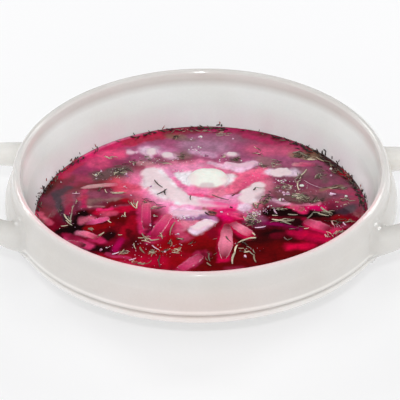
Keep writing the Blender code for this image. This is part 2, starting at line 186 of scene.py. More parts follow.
@dataclass(frozen=True)
class Grain:
    """Smooth random values over a plane, the same on every run."""

    size: float
    seed: int
    octaves: int = 2
    lattice: int = 128
    shift_x: float = 40.3
    shift_y: float = 17.9

    def at(self, x: Array, y: Array) -> Array:
        """Read the noise.

        Args:
            x: along X, in metres.
            y: along Y, in metres.

        Returns:
            Values from about -1 to 1, one for each point.
        """
        total = np.zeros(np.shape(x))
        weights = 0.0
        for octave in range(self.octaves):
            table = np.random.default_rng(self.seed + octave).uniform(-1, 1, (self.lattice, self.lattice))
            u = np.asarray(x) / self.size * 2**octave + self.shift_x
            v = np.asarray(y) / self.size * 2**octave + self.shift_y
            iu, iv = np.floor(u).astype(int), np.floor(v).astype(int)
            fu, fv = u - iu, v - iv
            fu, fv = fu * fu * (3 - 2 * fu), fv * fv * (3 - 2 * fv)
            iu, iv, ju, jv = (index % self.lattice for index in (iu, iv, iu + 1, iv + 1))
            near = table[iu, iv] * (1 - fu) + table[ju, iv] * fu
            far = table[iu, jv] * (1 - fu) + table[ju, jv] * fu
            total += (near * (1 - fv) + far * fv) * 0.5**octave
            weights += 0.5**octave
        return total / weights


# ---- Finishes ----
class Recipe:
    """A node material under construction."""

    def __init__(self, name: str) -> None:
        """Start a material that holds only its Principled shader."""
        self.material = bpy.data.materials.new(name)
        self.material.use_nodes = True
        self.tree = self.material.node_tree
        self.shader = self.tree.nodes["Principled BSDF"]

    def node(self, kind: str, **inputs: object) -> bpy.types.Node:
        """Add a node and fill its named inputs.

        Args:
            kind: the node's type name.
            **inputs: values by socket name, with _ for a space.

        Returns:
            The new node.
        """
        made = self.tree.nodes.new(kind)
        for key, value in inputs.items():
            made.inputs[key.replace("_", " ")].default_value = value
        return made

    def link(self, source: Socket, target: Socket) -> None:
        """Join two sockets."""
        self.tree.links.new(source, target)

    def constant(self, **values: object) -> None:
        """Set values straight on the shader's own sockets, with _ for a space."""
        for key, value in values.items():
            self.shader.inputs[key.replace("_", " ")].default_value = value

    def noise(self, scale: float, detail: float = 3.0, roughness: float = 0.5) -> Socket:
        """Add a noise texture in object space.

        Args:
            scale: cells per metre.
            detail: octaves.
            roughness: weight of the finer octaves.

        Returns:
            The grey output.
        """
        made = self.node("ShaderNodeTexNoise", Scale=scale, Detail=detail, Roughness=roughness)
        self.link(self.node("ShaderNodeTexCoord").outputs["Object"], made.inputs["Vector"])
        return made.outputs["Fac"]

    def ramp(
        self, source: Socket, low: float, dark: Colour, high: float, bright: Colour
    ) -> Socket:
        """Turn a grey value into colours.

        Args:
            source: the grey value.
            low: the grey up to which the first colour holds.
            dark: the first colour.
            high: the grey from which the second colour holds.
            bright: the second colour.

        Returns:
            The colour output.
        """
        made = self.node("ShaderNodeValToRGB")
        for element, position, colour in zip(made.color_ramp.elements, (low, high), (dark, bright)):
            element.position = position
            element.color = (*colour, 1.0)
        self.link(source, made.inputs["Fac"])
        return made.outputs["Color"]

    def multiply(self, first: Socket, second: Socket) -> Socket:
        """Multiply two colours.

        Args:
            first: a colour output.
            second: a colour output.

        Returns:
            The product.
        """
        made = self.tree.nodes.new("ShaderNodeMix")
        made.data_type = "RGBA"
        made.blend_type = "MULTIPLY"
        share, one, other = (made.inputs[index] for index in (0, 6, 7))
        share.default_value = 1.0
        self.link(first, one)
        self.link(second, other)
        return made.outputs[2]

    def painted(self) -> Socket:
        """Read the tint that a mesh carries on its points."""
        made = self.tree.nodes.new("ShaderNodeAttribute")
        made.attribute_name = TINT
        return made.outputs["Color"]

    def shine(self, low: float, high: float, scale: float) -> None:
        """Let the roughness wander between two values.

        Args:
            low: the least roughness.
            high: the greatest roughness.
            scale: cells per metre.
        """
        made = self.node("ShaderNodeMapRange", To_Min=low, To_Max=high)
        self.link(self.noise(scale), made.inputs["Value"])
        self.link(made.outputs["Result"], self.shader.inputs["Roughness"])

    def bump(self, source: Socket, strength: float, distance: float) -> None:
        """Roughen the surface with a grey height.

        Args:
            source: the height.
            strength: share of the effect, from 0 to 1.
            distance: height of the relief, in metres.
        """
        made = self.node("ShaderNodeBump", Strength=strength, Distance=distance)
        self.link(source, made.inputs["Height"])
        self.link(made.outputs["Normal"], self.shader.inputs["Normal"])


@dataclass(frozen=True)
class OpalGlaze:
    """The dish's white glass: a soft warm white with a clear shine."""

    depth: float = 0.016
    white: Colour = (1.0, 1.0, 1.0)
    veil: Colour = (0.965, 0.96, 0.95)
    fleck: Colour = (0.97, 0.97, 0.97)
    spread: Colour = (1.0, 0.95, 0.92)

    def make(self) -> Material:
        """Build the material."""
        recipe = Recipe("opal_glaze")
        veil = recipe.ramp(recipe.noise(scale=38.0, detail=2.0), 0.35, self.white, 0.70, self.veil)
        fleck = recipe.ramp(recipe.noise(scale=900.0, detail=2.0), 0.25, self.fleck, 0.75, self.white)
        colour = recipe.multiply(recipe.multiply(recipe.painted(), veil), fleck)
        recipe.link(colour, recipe.shader.inputs["Base Color"])
        recipe.shine(low=0.08, high=0.16, scale=60.0)
        recipe.constant(
            IOR=1.48, Subsurface_Weight=1.0, Subsurface_Radius=self.spread, Subsurface_Scale=self.depth
        )
        recipe.bump(recipe.noise(scale=55.0, detail=1.0), strength=0.15, distance=0.0004)
        return recipe.material


@dataclass(frozen=True)
class Wet:
    """Painted food with a wet film: broth, strips, cream and dill differ in numbers only."""

    name: str
    roughness: float
    mottle: float
    mottle_scale: float
    relief: float
    relief_scale: float
    ior: float = 1.34
    subsurface: float = 0.0
    depth: float = 0.0012
    spread: Colour = (1.0, 0.6, 0.6)
    relief_strength: float = 0.6

    def make(self) -> Material:
        """Build the material."""
        recipe = Recipe(self.name)
        grey = recipe.noise(self.mottle_scale, 4.0, 0.6)
        mottle = recipe.ramp(grey, 0.3, (1 - self.mottle,) * 3, 0.7, (1 + self.mottle,) * 3)
        recipe.link(recipe.multiply(recipe.painted(), mottle), recipe.shader.inputs["Base Color"])
        recipe.shine(self.roughness * 0.7, self.roughness * 1.4, self.mottle_scale * 0.4)
        recipe.constant(IOR=self.ior)
        if self.subsurface:
            recipe.constant(
                Subsurface_Weight=self.subsurface, Subsurface_Radius=self.spread, Subsurface_Scale=self.depth
            )
        recipe.bump(recipe.noise(self.relief_scale, 3.0), self.relief_strength, self.relief)
        return recipe.material


class Finish(Enum):
    """The finishes by what they cover."""

    GLAZE = OpalGlaze()
    BROTH = Wet("beet_broth", 0.06, 0.16, 700.0, 0.00010, 240.0)
    CREAM = Wet("melted_cream", 0.22, 0.04, 500.0, 0.00012, 500.0, 1.38, 0.25)
    THICK = Wet("thick_cream", 0.30, 0.02, 260.0, 0.00020, 260.0, 1.40, 0.35)
    STRIP = Wet("stained_strip", 0.16, 0.14, 1100.0, 0.00012, 900.0, 1.38, 0.15)
    DILL = Wet("chopped_dill", 0.34, 0.20, 2500.0, 0.00005, 2500.0, 1.40)
    FROTH = Wet("froth", 0.12, 0.06, 3000.0, 0.00004, 3000.0, 1.33, 0.2)


@cache
def material_of(finish: Finish) -> Material:
    """Make a finish's material at its first use, and give it again later."""
    return finish.value.make()


# ---- Mesh building ----
def linked(name: str, data: bpy.types.ID) -> bpy.types.Object:
    """Make an object of some data and put it in the scene."""
    made = bpy.data.objects.new(name, data)
    bpy.context.scene.collection.objects.link(made)
    return made


def baked(body: bpy.types.Object) -> bpy.types.Mesh:
    """Give a body's mesh with its modifiers applied."""
    return bpy.data.meshes.new_from_object(body.evaluated_get(bpy.context.evaluated_depsgraph_get()))


def vectors(mesh: bpy.types.Mesh, kind: str = "co") -> Array:
    """Read a vector of every vertex: its place, co, or its normal."""
    values = np.zeros(len(mesh.vertices) * 3)
    mesh.vertices.foreach_get(kind, values)
    return values.reshape(-1, 3)


def ring_faces(rings: int, around: int, first: int = 0) -> list[Face]:
    """List the quads between rings of vertices.

    Args:
        rings: how many rings there are.
        around: vertices in each ring.
        first: index of the first vertex.

    Returns:
        The faces.
    """
    faces = []
    for ring in range(rings - 1):
        for i in range(around):
            j = (i + 1) % around
            a, b = first + ring * around, first + (ring + 1) * around
            faces.append((a + i, a + j, b + j, b + i))
    return faces


class Form:
    """Vertices, faces and tints of one piece, gathered before it becomes a mesh."""

    def __init__(self) -> None:
        """Start empty."""
        self.points: list[Array] = []
        self.faces: list[Face] = []
        self.tints: list[Array] = []
        self.count = 0

    def add(self, points: Array, faces: list[Face], tints: Array | None = None) -> None:
        """Append a patch.

        Args:
            points: its vertices, one a row.
            faces: its faces, counted from its own first vertex.
            tints: a linear colour for each vertex, or one for all.
        """
        points = np.asarray(points, float)
        self.faces.extend(tuple(i + self.count for i in face) for face in faces)
        self.points.append(points)
        if tints is not None:
            self.tints.append(np.broadcast_to(np.asarray(tints, float), points.shape))
        self.count += len(points)

    def add_rings(self, rings: list[Array], tints: Array | None = None) -> None:
        """Append a closed body of equal rings, with a flat face at either end.

        Args:
            rings: the vertices of each ring, all in the same order.
            tints: a linear colour for each vertex, or one for all.
        """
        around, first = len(rings[0]), self.count
        self.add(np.concatenate(rings), ring_faces(len(rings), around), tints)
        last = self.count - around
        self.faces.append(tuple(range(first, first + around))[::-1])
        self.faces.append(tuple(range(last, last + around)))

    def mesh(self, name: str) -> bpy.types.Mesh:
        """Make a mesh with all its faces looking outward.

        Args:
            name: the mesh's name.

        Returns:
            The mesh.
        """
        mesh = bpy.data.meshes.new(name)
        mesh.from_pydata(np.concatenate(self.points).tolist(), [], self.faces)
        work = bmesh.new()
        work.from_mesh(mesh)
        bmesh.ops.recalc_face_normals(work, faces=work.faces)
        work.to_mesh(mesh)
        work.free()
        mesh.update()
        return mesh

    def piece(self, name: str, finish: Finish, slot: str, *nodes: str) -> None:
        """Make the mesh object, tint it and attach it to the part.

        Args:
            name: the piece's name.
            finish: its finish.
            slot: the record's material slot that it belongs to; not used.
            *nodes: the CAD nodes that it stands for.
        """
        mesh = self.mesh(name)
        mesh.shade_smooth()
        tints = np.concatenate(self.tints)
        values = np.concatenate([np.clip(tints, 0, 1), np.ones((len(tints), 1))], 1)
        layer = mesh.color_attributes.new(TINT, "FLOAT_COLOR", "POINT")
        layer.data.foreach_set("color", values.ravel().astype(np.float32))
        mesh.materials.append(material_of(finish))
        made = linked(name, mesh)
        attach(made, ROOT)
        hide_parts(*nodes)
        LOG.info("%s: %d vertices, %d faces", name, len(mesh.vertices), len(mesh.polygons))


def circle(radius: float, height: float, turn: Array) -> Array:
    """Place points on a level circle round Z, at angles in radians."""
    return np.stack([radius * np.cos(turn), radius * np.sin(turn), np.full_like(turn, height)], 1)


def squarish(turn: Array, squareness: float) -> tuple[Array, Array]:
    """Give x and y on a rounded square of half side 1, which a squareness of 2 makes a circle."""
    c, s = np.cos(turn), np.sin(turn)
    return np.sign(c) * np.abs(c) ** (2 / squareness), np.sign(s) * np.abs(s) ** (2 / squareness)


def rounded(corners: list[Corner], steps: int = 5) -> list[Pair]:
    """Round the corners of a line.

    Args:
        corners: first and second coordinate and rounding radius of each corner.
        steps: points along each rounding.

    Returns:
        The rounded line's points.
    """
    longest = 0.48
    line: list[Pair] = []
    for index, (x, y, radius) in enumerate(corners):
        if radius <= 0 or index in (0, len(corners) - 1):
            line.append((x, y))
            continue
        here = Vector((x, y))
        before = Vector(corners[index - 1][:2]) - here
        after = Vector(corners[index + 1][:2]) - here
        half = before.angle(after) / 2
        reach = min(radius / math.tan(half), longest * before.length, longest * after.length)
        start, end = here + before.normalized() * reach, here + after.normalized() * reach
        for step in range(steps + 1):
            t = step / steps
            point = start * (1 - t) ** 2 + here * 2 * t * (1 - t) + end * t**2
            line.append((point.x, point.y))
    return line


def tube(line: Array, half_width: Array, half_height: Array) -> Form:
    """Run a rounded, slightly square section along a line.

    Args:
        line: points of the middle line.
        half_width: level half width at each point.
        half_height: half height at each point.

    Returns:
        A closed form.
    """
    sides, squareness = 32, 2.2
    along = np.gradient(line, axis=0)
    along /= np.linalg.norm(along, axis=1, keepdims=True)
    across = np.cross(along, (0, 0, 1))
    across /= np.linalg.norm(across, axis=1, keepdims=True)
    upward = np.cross(across, along)
    u, v = squarish(-2 * math.pi * (np.arange(sides) + 0.5) / sides, squareness)
    u, v = half_width[:, None] * u, half_height[:, None] * v
    form = Form()
    form.add_rings(line[:, None] + across[:, None] * u[..., None] + upward[:, None] * v[..., None])
    return form


def melted(form: Form, cell: float, rounds: int) -> tuple[Array, list[Face]]:
    """Join overlapping closed bodies into one skin and soften the creases.

    Args:
        form: the overlapping bodies.
        cell: size of the new faces.
        rounds: how often the skin is smoothed.

    Returns:
        The skin's vertices and faces.
    """
    shrink, swell = 0.5, -0.51
    mesh = bpy.data.meshes.new("bodies")
    mesh.from_pydata(np.concatenate(form.points).tolist(), [], form.faces)
    skin = linked("bodies", mesh).modifiers.new("skin", "REMESH")
    skin.mode = "VOXEL"
    skin.voxel_size = cell
    made = baked(skin.id_data)
    points = vectors(made)
    faces = [tuple(face.vertices) for face in made.polygons]
    edges = np.array([tuple(edge.vertices) for edge in made.edges])
    degree = np.bincount(edges.ravel(), minlength=len(points))[:, None]
    bpy.data.meshes.remove(mesh)
    bpy.data.meshes.remove(made)
    for step in (shrink, swell) * rounds:
        total = np.zeros_like(points)
        np.add.at(total, edges[:, 0], points[edges[:, 1]])
        np.add.at(total, edges[:, 1], points[edges[:, 0]])
        points = points + step * (total / degree - points)
    return points, faces


def combined(operation: str, *forms: Form) -> Form:
    """Unite closed bodies, or cut the later ones off the first.

    Args:
        operation: UNION or DIFFERENCE.
        *forms: the bodies.

    Returns:
        The resulting body.
    """
    bodies = [linked("body", form.mesh("body")) for form in forms]
    for other in bodies[1:]:
        step = bodies[0].modifiers.new("step", "BOOLEAN")
        step.operation, step.solver, step.object = operation, "MANIFOLD", other
    made = baked(bodies[0])
    whole = Form()
    whole.add(vectors(made), [tuple(face.vertices) for face in made.polygons])
    for mesh in (made, *(body.data for body in bodies)):
        bpy.data.meshes.remove(mesh)
    return whole


def cell_corners(values: Array) -> list[Array]:
    """Give a grid's values at the four corners of each of its cells."""
    return [values[:-1, :-1], values[1:, :-1], values[:-1, 1:], values[1:, 1:]]


class Cells:
    """The kept cells of a level grid, with the corners that they use numbered."""

    AROUND = ((0, 0), (1, 0), (1, 1), (0, 1))

    def __init__(self, keep: Array) -> None:
        """Number the corners of the kept cells."""
        rows, columns = keep.shape
        self.keep = keep
        self.touching = np.zeros((rows + 1, columns + 1), int)
        for i, j in self.AROUND:
            self.touching[i : i + rows, j : j + columns] += keep
        self.used = self.touching > 0
        self.number = np.full(self.used.shape, -1)
        self.number[self.used] = np.arange(self.used.sum())

    def quads(self) -> list[list[int]]:
        """List each kept cell's corners by their numbers."""
        rows, columns = np.nonzero(self.keep)
        return np.stack([self.number[rows + i, columns + j] for i, j in self.AROUND], 1).tolist()


# ---- The dish ----
@dataclass(frozen=True)
class Zone:
    """A soft-edged zone of the dish, where its glaze is painted lighter, darker or pinker, or stained.

    A ramp runs from where the zone has no effect to where it has its full one. Heights and
    radii are in mm. Facing is 1 on the camera's side of the dish and -1 at its back.
    """

    change: float = 1.0
    heights: tuple[Pair, ...] = ()
    radii: tuple[Pair, ...] = ()
    facing: Pair | None = None
    always: float = 0.0
    beyond: float = 0.0
    within: float = 1000.0

    def at(self, facing: Array, radius: Array, height: Array) -> Array:
        """Give the zone's change at points of the dish.

        Args:
            facing: how far each point faces the camera's side.
            radius: distances from the dish's axis, in metres.
            height: heights above the foot, in metres.

        Returns:
            The change at each point.
        """
        cover = ((radius > self.beyond * MM) & (radius < self.within * MM)).astype(float)
        for value, ramps in ((height, self.heights), (radius, self.radii)):
            for start, full in ramps:
                cover *= smooth(start * MM, full * MM, value)
        turned = smooth(*self.facing, facing) if self.facing else 1.0
        return cover * (self.always + self.change * turned)


WALL_FOOT_RADII = ((86.8, 87.4),)
# Painted light and shade on the glaze, zone by zone.
PAINTED_LIGHT_AND_SHADE = (
    # painted light: the outside and the loops, lighter at the back
    Zone(0.22, facing=(0.0, -0.3), beyond=87.0),
    # painted shade: the rim's top, darker at the back
    Zone(-0.22, ((40.5, 42.0),), ((84.2, 84.8),), (0.2, -0.6)),
    # painted shade: the inner wall's top, darker at the back
    Zone(-0.11, ((35.0, 37.5),), ((84.8, 84.2),), (-0.1, -0.7), always=-0.03),
    # painted shade: the outer wall's top, darker at the front
    Zone(-0.10, ((33.0, 40.0),), ((85.8, 86.4),), (0.0, 0.4)),
    # painted highlight lines on the ledge and the bead, and painted shade in the groove between them
    Zone(0.22, ((25.6, 24.8), (23.2, 23.8)), WALL_FOOT_RADII, within=90.2),
    Zone(-0.15, ((23.1, 22.6), (20.7, 21.2)), WALL_FOOT_RADII, within=90.2),
    Zone(0.16, ((20.8, 20.4), (18.0, 18.6)), WALL_FOOT_RADII, within=90.2),
)
# painted light: where the glaze is painted lighter and cooler inside the dish
PAINTED_LIGHT_INSIDE = Zone(1.0, ((8.0, 14.0),), ((83.9, 82.9),))
# painted glow: the front wall pinker where the soup's light shows through it
FRONT_GLOW_ZONE = Zone(1.0, ((37.0, 31.0),), (), (0.0, 0.5), beyond=87.0)
# painted glow: a pink line on the front lip where the soup's light shows through
FRONT_LIP = Zone(1.0, ((40.5, 42.0),), (), (0.1, 0.5))
WET_WALL = Zone(1.0, ((20.5, 15.8),), ((74.0, 77.0),), within=82.5)
# painted glow: pinker just above the soup line, most at the back left
WATERLINE_GLOW_ZONE = Zone(1.0, ((18.0, 16.0),), ((76.0, 77.0),), within=82.5)


@dataclass
class Dish:
    """The round white dish and its two loop handles."""

    height: float = 0.0440
    segments: int = 224
    # a loop's middle line and section
    root_x: float = 0.0700
    reach: float = 0.0470
    half_span: float = 0.0345
    roundness: float = 2.6
    width: float = 0.0118
    thickness: float = 0.0108
    thinning: float = 0.10
    depth: float = 0.0175
    slope: float = 0.11
    bracket: float = 0.0030
    flare: float = 0.06
    flare_x: float = 0.0800
    flare_length: float = 0.0100
    loop_rings: int = 130
    loop_samples: int = 4001
    # the web between a loop's arms
    web_radius: float = 0.0915
    web_width: float = 0.0084
    web_height: float = 0.0138
    web_middle: float = 0.0260
    web_half_angle: float = 20.8
    web_rings: int = 48
    # how loop, web and wall melt together
    melt_cell: float = 0.0006
    melt_rounds: int = 10
    fillet: float = 0.0034
    fillet_fullness: float = 0.98
    buried: float = 0.0014
    plug_heights: Pair = (0.012, 0.0425)
    plug_rings: int = 40
    plug_segments: int = 180
    # the glaze's colours, the inside painted lighter and cooler, and how far the real stain and each painted
    # glow take red, green and blue away
    outside: Colour = (0.640, 0.632, 0.612)
    # painted light: the inside is painted lighter and cooler than the outside
    inside: Colour = (0.770, 0.818, 0.800)
    rosy: Colour = (1.0, 0.52, 0.55)
    lip_radius: float = 0.0855
    lip_width: float = 0.0009
    # a painted pink glow on the front wall, where the soup's light shows through
    front_glow: Colour = (0.03, -0.05, -0.05)
    front_glow_width: float = 0.045
    # one set of patches for the real soup stain and the painted glow at the soup line
    stain_and_glow_patches: Grain = Grain(0.006, 77, 2)
    stain: Colour = (0.03, 0.16, 0.10)
    stain_least: float = 0.35
    # a painted pink glow just above the soup line, strongest at the back left
    waterline_glow: Colour = (0.01, 0.16, 0.08)
    waterline_glow_least: float = 0.4
    waterline_glow_turn: float = 125.0
    waterline_glow_width: float = 18.0
    # corners as (radius, depth under the rim, rounding), in mm, from the floor over the rim to the foot
    inner: tuple[Corner, ...] = (
        (0, 39.2, 0), (46, 39.2, 8), (62, 37.2, 10), (71, 33.9, 6), (76, 31.1, 3), (78.2, 28.7, 2),
        (81.1, 15.0, 8), (82.9, 8.4, 8), (83.8, 4.6, 5), (84.0, 1.3, 1.2), (85.0, 0, 1.2), (86.2, 0, 1.2),
    )
    outer: tuple[Corner, ...] = (
        (87.4, 1.1, 1.2), (87.7, 3.6, 4), (88.4, 10.0, 12), (89.5, 16.0, 8), (89.62, 17.6, 0.2),
        (89.7, 18.4, 0.2), (89.8, 19.5, 1.5), (89.5, 21.3, 1.0), (88.8, 21.9, 0.4), (87.9, 22.6, 0.35),
        (88.7, 23.9, 0.9), (88.6, 25.6, 1.2), (87.3, 26.8, 1.0), (83.8, 27.6, 3),
    )
    belly: tuple[Corner, ...] = (
        (80.0, 30.2, 8), (73.0, 35.2, 12), (61.6, 42.5, 2), (59.8, 44.0, 0.5), (57.0, 44.0, 0.5),
        (56.2, 42.2, 0.6), (0, 42.2, 0),
    )

    def wall_radius(self, height: Array) -> Array:
        """Read the outer wall's radius at heights above the foot."""
        outside = sorted((self.height - depth * MM, radius * MM) for radius, depth, _ in self.outer)
        return np.interp(height, *zip(*outside))

    def turned(self, outline: list[Pair], segments: int) -> Form:
        """Turn an outline of (radius, height) points round Z."""
        turn = np.linspace(0, 2 * math.pi, segments, endpoint=False)
        form = Form()
        form.add_rings([circle(radius, height, turn) for radius, height in outline])
        return form

    def body(self) -> Form:
        """Turn the dish's own outline."""
        corners = self.inner + self.outer + self.belly
        line = rounded([(r * MM, self.height - depth * MM, rounding * MM) for r, depth, rounding in corners])
        return self.turned(line[-2:0:-1], self.segments)

    def plug(self) -> Form:
        """Fill the dish's outline, a little inside its outer wall, to cut the handles' roots."""
        heights = np.linspace(*self.plug_heights, self.plug_rings)
        return self.turned(list(zip(self.wall_radius(heights) - self.buried, heights)), self.plug_segments)

    def loop_sweep(self) -> Form:
        """Run the loop's rounded section along its middle line, at +X."""
        out, side = squarish(np.linspace(-0.5, 0.5, self.loop_samples) * math.pi, self.roundness)
        out, side = self.reach * out, self.half_span * side
        dense = np.stack([self.root_x + out, side, self.height - self.depth + self.slope * out], 1)
        run = np.concatenate([[0], np.cumsum(np.linalg.norm(np.diff(dense, axis=0), axis=1))])
        wanted = np.linspace(0, run[-1], self.loop_rings)
        line = np.stack([np.interp(wanted, run, dense[:, axis]) for axis in range(3)], 1)
        nearness = bell(np.maximum(line[:, 0], self.flare_x), self.flare_x, self.flare_length)
        lowering = self.bracket / 2 * nearness
        scale = 1 - self.thinning * (line[:, 0] - self.root_x) / self.reach
        line[:, 2] -= lowering
        half_width = self.width / 2 * (scale + self.flare * nearness)
        return tube(line, half_width, self.thickness / 2 * scale + lowering)

    def web_sweep(self) -> Form:
        """Run the web along the wall from arm to arm, at +X."""
        turn = np.radians(np.linspace(-self.web_half_angle, self.web_half_angle, self.web_rings))
        line = circle(self.web_radius - self.web_width / 2, self.web_middle, turn)
        return tube(line, np.full_like(turn, self.web_width / 2), np.full_like(turn, self.web_height / 2))

    def loop(self, sign: int) -> Form:
        """Build one handle: loop and web melted together and filleted into the wall.

        Args:
            sign: 1 for the handle at +X, -1 for the one at -X.

        Returns:
            The handle's form.
        """
        both, web = self.loop_sweep(), self.web_sweep()
        both.add(np.concatenate(web.points), web.faces)
        points, faces = melted(both, self.melt_cell, self.melt_rounds)
        rough = bpy.data.meshes.new("rough")
        rough.from_pydata(points.tolist(), [], faces)
        normals = vectors(rough, "normal")
        bpy.data.meshes.remove(rough)
        radius = np.linalg.norm(points[:, :2], axis=1)
        outward = np.concatenate([points[:, :2] / radius[:, None], np.zeros((len(points), 1))], 1)
        sideways = normals - outward * (normals * outward).sum(1, keepdims=True)
        near = np.clip(self.fillet - (radius - self.wall_radius(points[:, 2])), 0, self.fillet)
        grow = self.fillet - np.sqrt(self.fillet**2 - near**2 * self.fillet_fullness)
        points = points + sideways * grow[:, None]
        points[:, :2] *= sign
        form = Form()
        form.add(points, faces)
        return form

    def tint(self, points: Array) -> Array:
        """Colour the glaze, with painted light: lighter and cooler inside, painted light and shade zones, a
        painted pink glow where the soup shines through the front wall and the front lip, and pinker just
        above the soup line, where the soup also stains the wall.

        Args:
            points: the dish's vertices.

        Returns:
            A linear colour for each vertex.
        """
        x, y, height = points.T
        radius = np.hypot(x, y)
        place = (-y / np.maximum(radius, TINY), radius, height)
        # painted light: lighter and cooler inside
        colour = blend(np.array(self.outside), np.array(self.inside), PAINTED_LIGHT_INSIDE.at(*place)[:, None])
        # painted light and shade, zone by zone
        for shade in PAINTED_LIGHT_AND_SHADE:
            colour = colour * (1 + shade.at(*place))[:, None]
        # painted pink glow where the soup's light shows through the front wall
        front_glow = FRONT_GLOW_ZONE.at(*place) * bell(x, 0.0, self.front_glow_width)
        colour = colour * (1 + front_glow[:, None] * np.array(self.front_glow))
        # painted pink glow along the front lip
        lip = FRONT_LIP.at(*place) * bell(radius, self.lip_radius, self.lip_width)
        colour = blend(colour, np.array(self.rosy), lip[:, None])
        # patches shared by the real stain and the painted glow
        stain_and_glow_patches = self.stain_and_glow_patches.at(x, y) * 0.5 + 0.5
        wet = WET_WALL.at(*place) * (self.stain_least + (1 - self.stain_least) * stain_and_glow_patches)
        colour = colour * (1 - np.clip(wet, 0, 1)[:, None] * np.array(self.stain))
        # painted pink glow just above the soup line, strongest at the back left
        there = bell(np.degrees(np.arctan2(y, x)), self.waterline_glow_turn, self.waterline_glow_width)
        glow = np.clip(stain_and_glow_patches, 0, 1) * (self.waterline_glow_least + (1 - self.waterline_glow_least) * there)
        return colour * (1 - (WATERLINE_GLOW_ZONE.at(*place) * glow)[:, None] * np.array(self.waterline_glow))

    def build(self) -> None:
        """Make the dish, of one piece with its handles."""
        plug = self.plug()
        loops = [combined("DIFFERENCE", self.loop(sign), plug) for sign in (1, -1)]
        whole = combined("UNION", self.body(), *loops)
        whole.tints.append(self.tint(whole.points[0]))
        whole.piece("dish", Finish.GLAZE, "white_glaze", "bowl", "loop_right", "loop_left")


# ---- Strokes and washes of colour ----
@dataclass(frozen=True)
class Stroke:
    """A rounded stroke from x0, y0 to x1, y1, with one half width or one for either end, in mm."""

    x0: float
    y0: float
    x1: float
    y1: float
    half: float | Pair

    @property
    def halves(self) -> Pair:
        """Give the half widths at both ends."""
        return self.half if isinstance(self.half, tuple) else (self.half, self.half)

    def share(self, x: Array, y: Array) -> Array:
        """Give the distance from the stroke's middle line as a share of its half width.

        Args:
            x: along X, in mm.
            y: along Y, in mm.

        Returns:
            The share at each point, which is 1 at the stroke's edge.
        """
        dx, dy = self.x1 - self.x0, self.y1 - self.y0
        start, end = self.halves
        t = np.clip(((x - self.x0) * dx + (y - self.y0) * dy) / (dx * dx + dy * dy + TINY), 0, 1)
        gap = np.hypot(x - self.x0 - t * dx, y - self.y0 - t * dy)
        return gap / (start + (end - start) * t)


@dataclass(frozen=True)
class Wash(Stroke):
    """A soft stroke of colour."""

    tone: Tone
    softness: float = 0.8
    strength: float = 0.95

    def cover(self, x: Array, y: Array) -> Array:
        """Give how much the stroke covers each point, from 0 to 1, at coordinates in mm."""
        low, high = 1 - 0.75 * self.softness, 1 + 0.55 * self.softness
        return (1 - smooth(low, high, self.share(x, y))) * self.strength


def washed(colour: Array, washes: tuple[Wash, ...], x: Array, y: Array) -> Array:
    """Lay washes on a ground, one over the other.

    Args:
        colour: the ground's linear colour.
        washes: the washes, the lowest first.
        x: along X, in mm.
        y: along Y, in mm.

    Returns:
        A linear colour for each point.
    """
    for wash in washes:
        colour = blend(colour, wash.tone.light, wash.cover(x, y)[:, None])
    return colour


